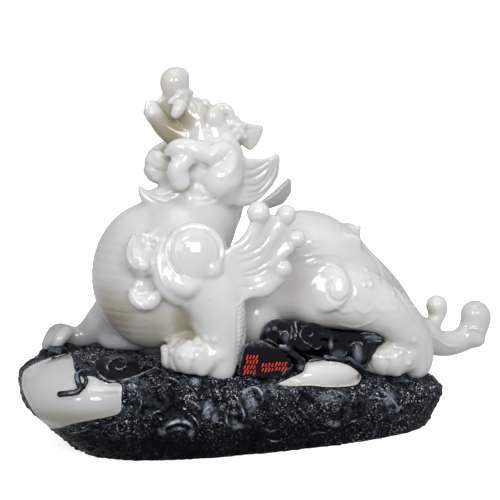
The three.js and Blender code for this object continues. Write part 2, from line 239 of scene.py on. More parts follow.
def next_loop(
    form: bmesh.types.BMesh,
    loop: list[bmesh.types.BMEdge],
) -> tuple[list[bmesh.types.BMVert], list[bmesh.types.BMEdge]]:
    """Grows a form from a loop of its edges.

    Args:
        form: The form.
        loop: The edges that it ends in.

    Returns:
        The new loop's vertices, still in the old one's places, and its edges.
    """
    made = bmesh.ops.extrude_edge_only(form, edges=loop)["geom"]
    verts = [item for item in made if isinstance(item, bmesh.types.BMVert)]
    ends = set(verts)
    edges = [item for item in made if isinstance(item, bmesh.types.BMEdge) and set(item.verts) <= ends]
    return verts, edges


def shifted(line: Line, across: float, down: float) -> Line:
    """A line of the sheet that is moved along it."""
    return [(a + across, d + down) for a, d in line]


class Clay:
    """A heap of closed forms that is kneaded into one skin.

    Attributes:
        segments: Fewest and most corners of a limb's rings.
        facet: Length that the sides of a limb's rings should have.
    """

    segments: tuple[int, int] = (10, 44)
    facet: float = 2.2

    def __init__(self, core: bpy.types.Mesh | None = None) -> None:
        """Starts a heap.

        Args:
            core: A kneaded skin that the heap is laid on, which is used up.
        """
        self.heap = bmesh.new()
        if core:
            self.heap.from_mesh(core)
            bpy.data.meshes.remove(core)

    def take(self, form: bmesh.types.BMesh, sides: Iterable[Side] = NEAR_ONLY) -> None:
        """Puts a form on the heap, on each of the named sides.

        Args:
            form: The closed form, which is used up.
            sides: The sides that get it.
        """
        for side in sides:
            copy = form.copy()
            bmesh.ops.scale(copy, vec=(1, side.value, 1), verts=copy.verts)
            bmesh.ops.recalc_face_normals(copy, faces=copy.faces)
            loose = bpy.data.meshes.new("form")
            copy.to_mesh(loose)
            copy.free()
            self.heap.from_mesh(loose)
            bpy.data.meshes.remove(loose)
        form.free()

    def mass(
        self,
        centre: Vector | Row,
        radii: Row,
        turn: Row = (0, 0, 0),
        sides: Iterable[Side] = NEAR_ONLY,
        fineness: int = 4,
    ) -> None:
        """Adds an egg-shaped form.

        Args:
            centre: Its middle.
            radii: Its three radii before it is turned.
            turn: Angles about X, Y and Z in degrees.
            sides: The sides that get it.
            fineness: How often its faces are divided.
        """
        form = bmesh.new()
        spin = Euler([math.radians(angle) for angle in turn])
        place = Matrix.LocRotScale(Vector(centre), spin, Vector(radii))
        bmesh.ops.create_icosphere(form, subdivisions=fineness, radius=1.0, matrix=place)
        self.take(form, sides)

    def balls(self, rows: Rows, sides: Iterable[Side] = NEAR_ONLY) -> None:
        """Adds balls at places of the sheet.

        Args:
            rows: Across, down, depth and radius of each.
            sides: The sides that get them.
        """
        for across, down, depth, radius in rows:
            self.mass(VIEW.lift(across, down, depth), (radius,) * 3, sides=sides)

    def limb(
        self,
        stations: Stations,
        flat: float = 1.0,
        sides: Iterable[Side] = NEAR_ONLY,
        gap: float = 2.4,
    ) -> None:
        """Adds a rounded form that flows through stations.

        Args:
            stations: Middles and radii from end to end.
            flat: Share of the radius that is left in one direction across it.
            sides: The sides that get it.
            gap: Distance between its rings.
        """
        path = flowing(np.array([[*middle, radius] for middle, radius in stations]), gap)
        middles = [Vector(row[:3]) for row in path]
        radii = [max(0.3, float(row[3])) for row in path]
        end = len(path) - 1
        ways = [
            (middles[min(i + 1, end)] - middles[max(i - 1, 0)]).normalized() for i in range(len(path))
        ]
        across = ways[0].orthogonal()
        rings = []
        for middle, radius, way in zip(middles, radii, ways):
            turn = tilted(way, across)
            across = turn.col[0]
            rings.append((middle, radius, way, turn))
        caps = [math.radians(angle) for angle in (25, 50, 75)]
        middle, radius, way, turn = rings[0]
        before = [
            (middle - way * radius * math.sin(a), radius * math.cos(a), way, turn) for a in reversed(caps)
        ]
        middle, radius, way, turn = rings[-1]
        after = [(middle + way * radius * math.sin(a), radius * math.cos(a), way, turn) for a in caps]
        places = [
            Matrix.LocRotScale(middle, turn, Vector((radius, radius * flat, 1)))
            for middle, radius, way, turn in before + rings + after
        ]
        form = bmesh.new()
        fewest, most = self.segments
        count = min(most, max(fewest, round(2 * math.pi * max(radii) / self.facet)))
        bmesh.ops.create_circle(form, segments=count, radius=1.0, matrix=places[0])
        loop = form.edges[:]
        bmesh.ops.contextual_create(form, geom=loop)
        for last, new in pairwise(places):
            moved, loop = next_loop(form, loop)
            bmesh.ops.transform(form, matrix=new @ last.inverted(), verts=moved)
        bmesh.ops.contextual_create(form, geom=loop)
        self.take(form, sides)

    def plate(self, outline: Line, depth: float, thick: float, sides: Iterable[Side] = NEAR_ONLY) -> None:
        """Adds a plate that has a traced outline and faces the viewer.

        Args:
            outline: Its corners on the sheet, in order.
            depth: Y of its middle.
            thick: Its thickness.
            sides: The sides that get it.
        """
        form = bmesh.new()
        rim = [form.verts.new(VIEW.lift(a, d, depth) + VIEW.back * thick / 2) for a, d in outline]
        face = form.faces.new(rim)
        bmesh.ops.subdivide_edges(form, edges=face.edges[:], cuts=2, smooth=1.0, smooth_falloff="LINEAR")
        grown = bmesh.ops.extrude_face_region(form, geom=form.faces[:], use_keep_orig=True)["geom"]
        moved = [item for item in grown if isinstance(item, bmesh.types.BMVert)]
        bmesh.ops.translate(form, vec=-VIEW.back * thick, verts=moved)
        bmesh.ops.holes_fill(form, edges=form.edges[:], sides=0)
        self.take(form, sides)

    def knead(self, voxel: float, rounds: int) -> bpy.types.Mesh:
        """Joins the heap into one closed skin and smooths it.

        Args:
            voxel: Size of the skin's faces.
            rounds: How often it is smoothed.

        Returns:
            The skin.
        """
        mesh = bpy.data.meshes.new("clay")
        self.heap.to_mesh(mesh)
        self.heap.free()
        return worked(mesh, [
            ("REMESH", {"mode": "VOXEL", "voxel_size": voxel}),
            ("SMOOTH", {"factor": 0.5, "iterations": rounds}),
        ])


def worked(mesh: bpy.types.Mesh, steps: Sequence[tuple[str, dict]]) -> bpy.types.Mesh:
    """A mesh with modifiers applied, in place of the given one.

    Args:
        mesh: The mesh, which is removed.
        steps: Each modifier's type and settings, in order.

    Returns:
        The new mesh.
    """
    holder = bpy.data.objects.new("worked", mesh)
    bpy.context.scene.collection.objects.link(holder)
    for kind, settings in steps:
        step = holder.modifiers.new(kind.title(), kind)
        for key, value in settings.items():
            setattr(step, key, value)
    ready = holder.evaluated_get(bpy.context.evaluated_depsgraph_get())
    result = bpy.data.meshes.new_from_object(ready)
    bpy.data.objects.remove(holder)
    bpy.data.meshes.remove(mesh)
    return result


def coordinates(mesh: bpy.types.Mesh, name: str = "co") -> np.ndarray:
    """Places or directions of a mesh's vertices.

    Args:
        mesh: The mesh.
        name: "co" for places, "normal" for directions.

    Returns:
        Rows of x, y, z.
    """
    values = np.empty(len(mesh.vertices) * 3)
    mesh.vertices.foreach_get(name, values)
    return values.reshape(-1, 3)


def tree_of(mesh: bpy.types.Mesh) -> BVHTree:
    """The search tree of a mesh's faces."""
    form = bmesh.new()
    form.from_mesh(mesh)
    tree = BVHTree.FromBMesh(form)
    form.free()
    return tree


def gap_to(spots: np.ndarray, corners: np.ndarray) -> np.ndarray:
    """Distance of places of the sheet from a line.

    Args:
        spots: Rows of across, down.
        corners: The line's points.

    Returns:
        Each place's distance.
    """
    gap = np.full(len(spots), np.inf)
    for a, b in pairwise(corners):
        way = b - a
        share = np.clip(((spots - a) @ way) / max(1e-9, way @ way), 0, 1)
        gap = np.minimum(gap, np.linalg.norm(spots - a - share[:, None] * way, axis=1))
    return gap


class Skin:
    """A kneaded skin that lines are cut into, or that low forms are laid on."""

    def __init__(self, mesh: bpy.types.Mesh) -> None:
        """Measures a skin.

        Args:
            mesh: The skin.
        """
        self.mesh = mesh
        self.points = coordinates(mesh)
        self.normals = coordinates(mesh, "normal")
        self.raised = np.zeros(len(self.points))
        self.sunk = np.zeros(len(self.points))
        self.cut = np.zeros(len(self.points))
        self.tree = tree_of(mesh)
        self.near = KDTree(len(self.points))
        for i, point in enumerate(self.points):
            self.near.insert(point, i)
        self.near.balance()

    def hit(self, across: float, down: float, side: Side = Side.NEAR) -> tuple[Vector, Vector] | None:
        """The place where the skin is seen at a point of the sheet.

        Args:
            across: Place from the sheet's left edge.
            down: Place from the sheet's top edge.
            side: FAR takes the nearest place to the mirrored one.

        Returns:
            The place and the direction out of the skin, or None where the skin isn't seen.
        """
        place, normal, _, _ = self.tree.ray_cast(VIEW.station, VIEW.ray(across, down))
        if place is None:
            return None
        if side is Side.FAR:
            place, normal, _, _ = self.tree.find_nearest(Vector((place.x, -place.y, place.z)))
        return place, normal

    def trace(self, line: Line, side: Side = Side.NEAR, gap: float = 0.9) -> list[tuple[Vector, Vector]]:
        """Places of the skin under a smooth line of the sheet.

        Args:
            line: Points of the sheet.
            side: The side that the line is on.
            gap: Distance between the places on the sheet.

        Returns:
            Places and directions out of the skin.
        """
        found = [self.hit(across, down, side) for across, down in flowing(np.array(line, float), gap)]
        return [item for item in found if item]

    def draw(
        self,
        line: Line,
        half: float,
        depth: float,
        sides: Iterable[Side] = NEAR_ONLY,
        ends: float = 0.25,
    ) -> None:
        """Cuts a groove along a line of the sheet, or raises a ridge.

        Args:
            line: Points of the sheet.
            half: Half of the groove's width.
            depth: Its depth, below 0 for a ridge.
            sides: The sides that get it.
            ends: Share of the line over which each end fades.
        """
        for side in sides:
            self.carve(self.trace(line, side), half, depth, ends)

    def draw_all(
        self,
        lines: Sequence[Line],
        half: float,
        depth: float,
        sides: Iterable[Side] = NEAR_ONLY,
        ends: float = 0.25,
    ) -> None:
        """Cuts or raises each of a set of lines in the same way, as draw does one."""
        for line in lines:
            self.draw(line, half, depth, sides, ends)

    def boss(
        self,
        place: tuple[float, float],
        radius: float,
        height: float,
        sides: Iterable[Side] = NEAR_ONLY,
    ) -> None:
        """Raises a round boss at a point of the sheet.

        Args:
            place: The point.
            radius: Radius of the boss.
            height: Its height.
            sides: The sides that get it.
        """
        self.draw((place, (place[0] + 0.6, place[1])), half=radius, depth=-height, sides=sides, ends=0)

    def carve(self, places: Spots, half: float, depth: float, ends: float = 0.25) -> None:
        """Cuts a groove through places of the skin, or raises a ridge.

        Args:
            places: Places and directions out of the skin.
            half: Half of the groove's width.
            depth: Its depth, below 0 for a ridge.
            ends: Share of the line over which each end fades.
        """
        closest: dict[int, float] = {}
        last = max(1, len(places) - 1)
        for i, (place, normal) in enumerate(places):
            share = min(i, last - i) / last
            fade = min(1.0, 0.25 + share / ends) if ends else 1.0
            for _, index, gap in self.near.find_range(place, half):
                if Vector(self.normals[index]).dot(normal) > 0.1:
                    amount = fade * (1 - (gap / half) ** 2) ** 2
                    closest[index] = max(closest.get(index, 0.0), amount)
        heights = self.sunk if depth > 0 else self.raised
        for index, amount in closest.items():
            heights[index] = max(heights[index], amount * abs(depth))
            self.cut[index] = max(self.cut[index], amount)

    def finish(self) -> bpy.types.Mesh:
        """Moves the skin by all that was cut and raised.

        Returns:
            The carved skin.
        """
        moved = self.points + self.normals * (self.raised - self.sunk)[:, None]
        self.mesh.vertices.foreach_set("co", moved.ravel())
        self.mesh.update()
        return self.mesh


def thinned(mesh: bpy.types.Mesh) -> bpy.types.Mesh:
    """A skin that is smoothed once and has no more triangles than a piece may have.

    Args:
        mesh: The skin, which is used up.

    Returns:
        The new skin.
    """
    mesh.calc_loop_triangles()
    count = len(mesh.loop_triangles)
    steps: list[tuple[str, dict]] = [("SMOOTH", {"factor": 0.35, "iterations": 1})]
    if count > TRIANGLES:
        steps.append(("DECIMATE", {"decimate_type": "COLLAPSE", "ratio": TRIANGLES / count}))
    return worked(mesh, steps)


def note_hollows(mesh: bpy.types.Mesh, rounds: int, reach: float) -> None:
    """Keeps on each vertex how deep it lies in a hollow, from -1 on a crest to 1.

    Args:
        mesh: The skin, in millimetres.
        rounds: How often the skin is smoothed to compare it with.
        reach: Depth that counts as 1.
    """
    count = len(mesh.vertices)
    points, normals = coordinates(mesh), coordinates(mesh, "normal")
    edges = np.empty(len(mesh.edges) * 2, int)
    mesh.edges.foreach_get("vertices", edges)
    a, b = edges.reshape(-1, 2).T
    degree = np.maximum(1, np.bincount(a, minlength=count) + np.bincount(b, minlength=count))
    smooth = points.copy()
    for _ in range(rounds):
        around = np.stack([
            np.bincount(a, smooth[b, k], count) + np.bincount(b, smooth[a, k], count) for k in range(3)
        ], axis=1) / degree[:, None]
        smooth = 0.3 * smooth + 0.7 * around
    depth = ((smooth - points) * normals).sum(axis=1) / reach
    keep(mesh, "hollow", np.clip(depth, -1, 1))


def note_shade_cover(mesh: bpy.types.Mesh, reach: float, every: int = 7, rays: int = 20) -> None:
    """Keeps on each vertex how much of the space over it the same piece covers, from 0 to 1, for the
    resin's painted shade.

    Args:
        mesh: The skin, in millimetres.
        reach: Distance within which something counts as cover.
        every: One vertex in so many is measured.
        rays: Directions that are tried from each.
    """
    points, normals = coordinates(mesh), coordinates(mesh, "normal")
    tree = tree_of(mesh)
    turn = math.pi * (3 - math.sqrt(5))
    heights = np.sqrt((np.arange(rays) + 0.5) / rays)
    fan = [
        Vector((math.sqrt(1 - h * h) * math.cos(i * turn), math.sqrt(1 - h * h) * math.sin(i * turn), h))
        for i, h in enumerate(heights)
    ]
    picked = range(0, len(points), every)
    near = KDTree(len(picked))
    cover = np.zeros(len(picked))
    for row, index in enumerate(picked):
        place, normal = Vector(points[index]), Vector(normals[index])
        turned = tilted(normal, normal.orthogonal())
        start = place + normal * 0.6
        for way in fan:
            found = tree.ray_cast(start, turned @ way, reach)[3]
            if found is not None:
                cover[row] += 1 - found / reach
        near.insert(place, row)
    near.balance()
    cover /= rays
    values = np.empty(len(points))
    for index, point in enumerate(points):
        close = near.find_n(Vector(point), 4)
        weights = [1 / (0.3 + gap) for _, _, gap in close]
        values[index] = sum(cover[row] * w for (_, row, _), w in zip(close, weights)) / sum(weights)
    keep(mesh, "painted_shade", values)


def note_spots(mesh: bpy.types.Mesh, name: str, spots: Rows) -> None:
    """Keeps on each vertex how far it lies in spots of another tone.

    Args:
        mesh: The skin, in millimetres.
        name: Name of the attribute.
        spots: Rows of across, down, depth, radius and strength.
    """
    points = coordinates(mesh)
    tint = np.zeros(len(points))
    for across, down, depth, radius, strength in spots:
        gap = np.linalg.norm(points - np.array(VIEW.lift(across, down, depth)), axis=1)
        tint = np.maximum(tint, strength * np.clip(1 - (gap / radius) ** 2, 0, 1))
    keep(mesh, name, tint)


def keep(mesh: bpy.types.Mesh, name: str, values: np.ndarray) -> None:
    """Keeps a number on each vertex under a name."""
    mesh.attributes.new(name, "FLOAT", "POINT").data.foreach_set("value", values.astype(np.float32))


class Finish(Protocol):
    """What gives a piece its material."""

    def material(self) -> bpy.types.Material:
        """The finished material."""


def piece(
    mesh: bpy.types.Mesh,
    name: str,
    node: str | None,
    finish: Finish,
) -> bpy.types.Object:
    """Makes a finished piece of a mesh in millimetres.

    Args:
        mesh: The mesh, already in its place.
        name: The piece's name.
        node: The solid that it stands for, if any.
        finish: The finish.

    Returns:
        The piece.
    """
    mesh.name = name
    mesh.transform(Matrix.Scale(MM, 4))
    mesh.shade_smooth()
    body = bpy.data.objects.new(name, mesh)
    bpy.context.scene.collection.objects.link(body)
    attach(body, "root")
    if node:
        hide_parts(node)
    mesh.calc_loop_triangles()
    log.info("%s: %d triangles", name, len(mesh.loop_triangles))
    mesh.materials.clear()
    mesh.materials.append(finish.material())
    return body


@dataclass(frozen=True)
class Ground:
    """The rock's tilted top."""

    far_paw: float = -150.0
    heel: float = 150.0
    head_end: float = 77.0
    tail_end: float = 46.0
    rise: float = 10.0
    depth: float = 150.0

    def top(self, x: float, y: float) -> float:
        """Height of the top over a place."""
        along = (x - self.far_paw) / (self.heel - self.far_paw)
        return self.head_end + (self.tail_end - self.head_end) * along + self.rise * y / self.depth


GROUND = Ground()


@dataclass
class Torso:
    """The chest with its plates, the trunk, the neck and the cape over the back."""

    chest: Row = (-82, 0, 135.6)
    chest_radii: Row = (50, 48, 59)
    trunk: Rows = (
        (-70, 0, 132, 44), (-34, 0, 119, 35), (2, 0, 119, 34), (28, 0, 127, 42), (50, 0, 134, 46),
        (86, 0, 113.5, 37), (116, 0, 93, 29.5), (142, 0, 77, 17.5), (160, 0, 67, 12),
    )
    neck: Rows = (
        (-74, 0, 150, 46), (-50, 0, 180, 39), (-44, 0, 202, 32), (-38, 0, 226, 28), (-36, 0, 244, 25),
    )
    nape: Rows = ((235, 204, 0, 8), (231, 215, 0, 9), (223, 228, 0, 10))
    hump: Rows = (
        (48, 0, 135, 46), (63, 0, 136, 43), (72, 0, 137, 38), (80, 0, 141, 26.5), (84, 0, 149, 15.5),
        (87, 0, 154, 9.5),
    )
    flap: Line = (
        (330, 219.5), (341.5, 222.5), (347, 225.8), (354, 226), (361.6, 225.4), (359.8, 231), (360.5, 243),
        (357, 256), (346, 262), (334, 250),
    )
    skirt: Line = (
        (345, 233), (354, 234), (360.6, 238), (361, 247), (359.5, 256), (355, 263), (348, 268), (338, 264),
        (333, 250),
    )
    belly: Row = (257, 321, -22)
    belly_radii: Row = (19, 13, 21)
    plates: tuple[float, float, int] = (52, -46, 14)
    plate_reach: float = 68.0
    cape_edges: tuple[Line, ...] = (
        ((292, 259.5), (304, 256), (320, 254), (337, 254), (352, 262)),
        ((305, 265), (318, 263), (330, 264.5), (344.5, 271)),
        ((305, 240.5), (314, 239.5), (326, 239)),
    )
    folds: tuple[Line, ...] = (
        ((343.5, 222), (343, 227), (341.5, 232)),
        ((350, 227.5), (356, 229.5), (360, 233)),
    )
    neck_folds: tuple[Line, ...] = (
        ((184, 190), (190, 197), (200, 199), (212, 197)),
        ((197, 184), (202, 191), (210, 196)),
        ((196, 204), (207, 204), (220, 200)),
    )

    def mould(self, clay: Clay) -> None:
        """Adds the big masses."""
        clay.mass(self.chest, self.chest_radii, fineness=5)
        clay.limb(placed(self.trunk))
        clay.limb(placed(self.neck), flat=0.95)
        clay.limb(placed(self.hump))
        clay.limb(traced(self.nape))

    def shape(self, clay: Clay) -> None:
        """Adds the rear edge of the cape and the hanging belly."""
        clay.plate(self.flap, depth=-7, thick=12, sides=BOTH)
        clay.plate(self.skirt, depth=-23, thick=16, sides=BOTH)
        clay.mass(VIEW.lift(*self.belly), self.belly_radii, sides=BOTH)

    def carve(self, skin: Skin) -> None:
        """Cuts the chest's plates and the lines of the cape and neck."""
        high, low, count = self.plates
        centre = Vector(self.chest)
        for tilt in np.linspace(math.radians(high), math.radians(low), count):
            places = []
            for turn in np.radians(np.arange(-self.plate_reach, self.plate_reach + 1, 1.0)):
                level = math.cos(tilt)
                way = Vector((-level * math.cos(turn), level * math.sin(turn), math.sin(tilt)))
                egg = Vector(w * r for w, r in zip(way, self.chest_radii))
                place, normal, _, _ = skin.tree.ray_cast(centre + egg * 2, -egg.normalized())
                if place and (place - centre - egg).length < 7:
                    places.append((place, normal))
            if places:
                skin.carve(places, half=2.0, depth=0.24, ends=0.12)
        skin.draw_all(self.cape_edges, half=2.4, depth=-0.9, sides=BOTH)
        skin.draw_all(self.folds, half=1.8, depth=0.7)
        skin.draw_all(self.neck_folds, half=2.6, depth=-1.1, sides=BOTH)


@dataclass(frozen=True)
class Paw:
    """A rounded paw with four toes that points to the head end.

    Attributes:
        ankle: Middle of the ankle, x and y.
        toes: Reach and place aside of each toe.
        height: Height of the toes' middles.
        wide: Radius of a toe.
        pad: Share of the reach, place aside, height and radius of each station of the pad.
        knuckles: Place behind a toe's end, share of its place aside, height over it and radii.
    """

    ankle: tuple[float, float]
    toes: Rows
    height: float = 14.0
    wide: float = 8.8
    pad: Rows = ((0, -2, 13, 12), (0.35, -1, 12.5, 15), (0.6, 0, 11, 13.5))
    knuckles: tuple[tuple[float, float, float, Row], ...] = (
        (13, 1, -1.4, (4.4, 4.2, 3.6)), (2.5, 1, -8.5, (3.8, 3.8, 3.4)), (26, 0.85, 4, (3.8, 3.6, 3.6)),
    )

    def at(self, ahead: float, aside: float, up: float, radius: float) -> Row:
        """A placed row, from a place in front of the ankle, beside it and over the rock."""
        x, y = self.ankle[0] - ahead, self.ankle[1] + aside
        return x, y, GROUND.top(x, y) + up, radius

    def shape(self, clay: Clay) -> None:
        """Adds the pad and the toes."""
        reach = max(toe[0] for toe in self.toes)
        clay.limb(placed([self.at(reach * share, *rest) for share, *rest in self.pad]))
        for ahead, aside in self.toes:
            clay.limb(placed([
                self.at(max(2, ahead - 30), aside * 0.8, self.height + 4, self.wide + 2),
                self.at(ahead - 14, aside, self.height + 1, self.wide),
                self.at(ahead - 7, aside, self.height * 0.55, self.wide - 0.8),
                self.at(ahead - 6, aside, 4.5, self.wide - 2),
            ]))

    def refine(self, clay: Clay) -> None:
        """Adds the knuckles."""
        top = self.height + self.wide
        for ahead, aside in self.toes:
            for behind, share, up, radii in self.knuckles:
                clay.mass(stood(self.at(ahead - behind, aside * share, top + up, 1)), radii)

    def carve(self, skin: Skin) -> None:
        """Cuts the gaps between the toes."""
        for (reach_a, aside_a), (reach_b, aside_b) in pairwise(self.toes):
            reach, aside = (reach_a + reach_b) / 2, (aside_a + aside_b) / 2
            line = placed([
                self.at(reach - 15, aside * 0.9, self.height + 7, 1),
                self.at(reach - 8, aside, self.height + 4, 1),
                self.at(reach - 3, aside, self.height * 0.6, 1),
                self.at(reach - 2, aside, 2, 1),
            ])
            places = []
            for row in flowing(np.array([[*middle, radius] for middle, radius in line]), 0.9):
                place, normal, _, _ = skin.tree.find_nearest(Vector(row[:3]))
                places.append((place, normal))
            skin.carve(places, half=2.2, depth=0.9, ends=0.3)


@dataclass
class Legs:
    """The four legs and their paws."""

    near_fore: Rows = (
        (-70, -22, 168, 30), (-62, -30, 148, 32), (-50, -43, 122, 26), (-45, -46, 100, 21),
        (-45, -46, 86, 17.5), (-45, -46, 74, 15), (-45, -45, 66.5, 14.5),
    )
    far_fore: Rows = (
        (127, 270, 18, 24), (114, 301, 26, 14), (100, 323, 33, 13), (88, 333, 36, 10.6), (78, 337, 37, 8.4),
        (69, 336, 38, 8.6), (58.5, 334, 38, 8.8), (51, 340, 37, 6.5), (46, 345.5, 35, 4.2),
    )
    far_pad: Rows = (
        (124, 298, 20, 16), (115, 322, 26, 13), (107, 337, 28, 9), (122, 338, 22, 10), (140, 338, 16, 10),
    )
    far_toes: tuple[Rows, ...] = (
        ((58, 334, 28, 6), (50, 340, 26, 5), (46.5, 346, 26, 3.6)),
        ((64, 332, 46, 6), (56, 337, 47, 6), (51, 344, 47, 4.4)),
        ((66, 333, 22, 6), (60, 339, 18, 5.5), (57, 345, 18, 4.4)),
    )
    near_hind: Rows = (
        (48, -26, 113, 26), (74, -29, 112, 28), (105, -36, 99, 21), (122, -38, 83, 18),
        (131.5, -38, 68, 15.4), (134, -37, 60, 14), (133.5, -36, 53, 13.6),
    )
    far_hind: Rows = (
        (48, 26, 112, 26), (74, 29, 110, 29), (104, 36, 94, 23), (124, 38, 80, 18), (136, 38, 70, 13),
        (137, 38, 60, 12),
    )
    near_fore_paw: Paw = Paw((-45, -46), ((43, 12), (39, 4), (32, -3), (23, -8)))
    near_hind_paw: Paw = Paw((124, -38), ((37, 10), (35, 2), (29, -4), (19, -7)), 13.5, 8.4)
    far_hind_paw: Paw = Paw((128, 38), ((36, -11), (34, -2), (28, 7), (20, 15)), 13.5, 8.4)
    heel: Rows = ((427, 344), (428.5, 352), (428, 362), (427.5, 373))
    lock: Line = ((-1, 5), (3, 2), (8, -4))
    fringe: Rows = tuple((236.5 + 2.2 * math.sin(i / 11 * math.pi), 302 + 4.3 * i) for i in range(12))
    fringe_root: Rows = (
        (241, 305, -44, 3.4), (241.5, 325, -44, 4), (241, 348, -44, 3.4), (238, 364, -44, 2.4),
    )
    fringe_edge: Line = ((238, 303), (237.5, 325), (237, 350), (235, 366))
    haunch: Row = (338, 300, -34)
    haunch_radii: Row = (33, 15, 24)
    knuckles: Line = (
        (166, 340), (172, 339), (183, 340), (188, 342), (196, 339), (205.5, 338.7), (213.8, 340.3),
        (166.6, 350.5), (163.1, 353.7), (195.9, 348), (201, 349.9), (181.9, 356.3), (192.1, 357.5),
        (373, 356), (388, 357), (400.5, 353), (409, 363.5), (414, 341), (372, 346), (384, 344),
    )

    @property
    def paws(self) -> tuple[Paw, ...]:
        """The paws that stand flat."""
        return self.near_fore_paw, self.near_hind_paw, self.far_hind_paw

    def mould(self, clay: Clay) -> None:
        """Adds the legs' masses."""
        for rows in (self.near_fore, self.near_hind, self.far_hind):
            clay.limb(placed(rows))
        clay.mass(VIEW.lift(*self.haunch), self.haunch_radii, (0, 15, 0), sides=BOTH)

    def shape(self, clay: Clay) -> None:
        """Adds the paws and the fringe behind the near foreleg."""
        clay.limb(traced(self.far_fore))
        clay.limb(traced(self.far_pad))
        for rows in self.far_toes:
            clay.limb(traced(rows))
        for paw in self.paws:
            paw.shape(clay)
        clay.limb(traced(self.fringe_root))

    def refine(self, clay: Clay) -> None:
        """Adds the knuckles."""
        for paw in self.paws:
            paw.refine(clay)

    def carve(self, skin: Skin) -> None:
        """Cuts the toes apart, the heel's fold and the fringe into locks."""
        for paw in self.paws:
            paw.carve(skin)
        skin.draw(self.heel, half=2.2, depth=1.2, sides=BOTH)
        for place in self.knuckles:
            skin.boss(place, radius=3.6, height=1.5)
        skin.draw(self.fringe_edge, half=1.8, depth=0.9)
        for across, down in self.fringe:
            skin.draw(shifted(self.lock, across, down), half=1.8, depth=-1.0)


@dataclass
class ShoulderScroll:
    """The ringed dome on each shoulder, with its ball, lobes and flames."""

    dome: Row = (194.4, 253, -53)
    dome_radii: Row = (23.5, 12.5, 23.5)
    dome_turn: Row = (-12, 0, -8)
    ring: float = 28.2
    ball: Row = (210.4, 268.4, -58.5, 9.4)
    fillings: tuple[tuple[Row, Row], ...] = (((151, 246, -37), (11, 6, 12)), ((142, 290, -41), (9, 5, 10)))
    lobes: tuple[Rows, ...] = (
        (
            (165, 243, -44, 6), (162, 260, -47, 8.5), (165, 280, -50, 9), (174, 294, -51, 8),
            (184, 301, -50, 5),
        ),
        ((167, 268, -52, 6), (173, 281, -55, 9), (186, 286.5, -57, 9.4), (197, 282.5, -58, 7)),
    )
    flames: tuple[Rows, ...] = (
        (
            (135.2, 232, -31, 0.8), (133.6, 240, -36, 4), (134.5, 250, -40, 7), (138, 260, -43, 10),
            (141, 266, -43, 9),
        ),
        ((129, 289, -38, 1), (133, 297, -42, 4.5), (140, 303, -44, 6), (150, 303, -46, 6)),
    )
    far_shift: float = 14.0
    balls: Rows = (
        (143, 265.5, -50, 5), (152.1, 299, -45, 7), (147.7, 252, -43, 4), (143.2, 235, -38, 2.4),
        (149.5, 236, -39.5, 2.6), (155.7, 238.5, -42, 2.6), (210.2, 297.7, -64, 3.2),
        (212.9, 303, -64, 2.8),
    )
    rims: tuple[Line, ...] = (
        ((135.4, 233), (131.6, 239), (128.6, 247), (128, 256), (131, 264), (136, 269)),
        ((137.6, 236), (134.4, 243), (133, 252), (135.5, 259)),
        ((129.5, 290), (133.6, 297.5), (138.6, 304), (144.1, 309)),
        ((163.5, 239), (160, 250), (158, 263), (160.5, 276), (166, 288)),
    )

    def arc(self, radius: float, start: float, end: float) -> Line:
        """Points of a circle round the dome, with angles in degrees clockwise from the right."""
        across, down, _ = self.dome
        steps = np.linspace(math.radians(start), math.radians(end), 14)
        return [(across + radius * math.cos(a), down + radius * math.sin(a)) for a in steps]

    def shape(self, clay: Clay) -> None:
        """Adds the dome, the fillings, the lobes and the flames."""
        clay.mass(VIEW.lift(*self.dome), self.dome_radii, self.dome_turn, sides=BOTH)
        for place, radii in self.fillings:
            clay.mass(VIEW.lift(*place), radii, sides=BOTH)
        for rows in self.lobes:
            clay.limb(traced(rows), sides=BOTH)
        for side, shift in ((Side.NEAR, 0.0), (Side.FAR, self.far_shift)):
            for rows in self.flames:
                clay.limb(traced([(a + shift, d, y, r) for a, d, y, r in rows]), sides=(side,))

    def refine(self, clay: Clay) -> None:
        """Adds the balls."""
        clay.balls(self.balls)
        clay.balls((self.ball, *self.balls[-2:]), (Side.FAR,))
        clay.balls((self.ball,))

    def carve(self, skin: Skin) -> None:
        """Raises the rim round the dome and the rims of the flames."""
        skin.draw(self.arc(self.ring, start=117, end=381), half=2.1, depth=-1.7, sides=BOTH, ends=0.08)
        skin.draw(self.arc(self.ring - 3.4, start=118, end=376), half=2.0, depth=1.0, sides=BOTH, ends=0.08)
        skin.draw(self.arc(19, start=150, end=255), half=2.2, depth=-0.8, sides=BOTH)
        skin.draw(self.arc(13.5, start=155, end=245), half=2.0, depth=-0.7, sides=BOTH)
        skin.draw(self.arc(22, start=315, end=375), half=2.0, depth=-0.7, sides=BOTH)
        skin.draw_all(self.rims, half=1.8, depth=-1.1, sides=BOTH)


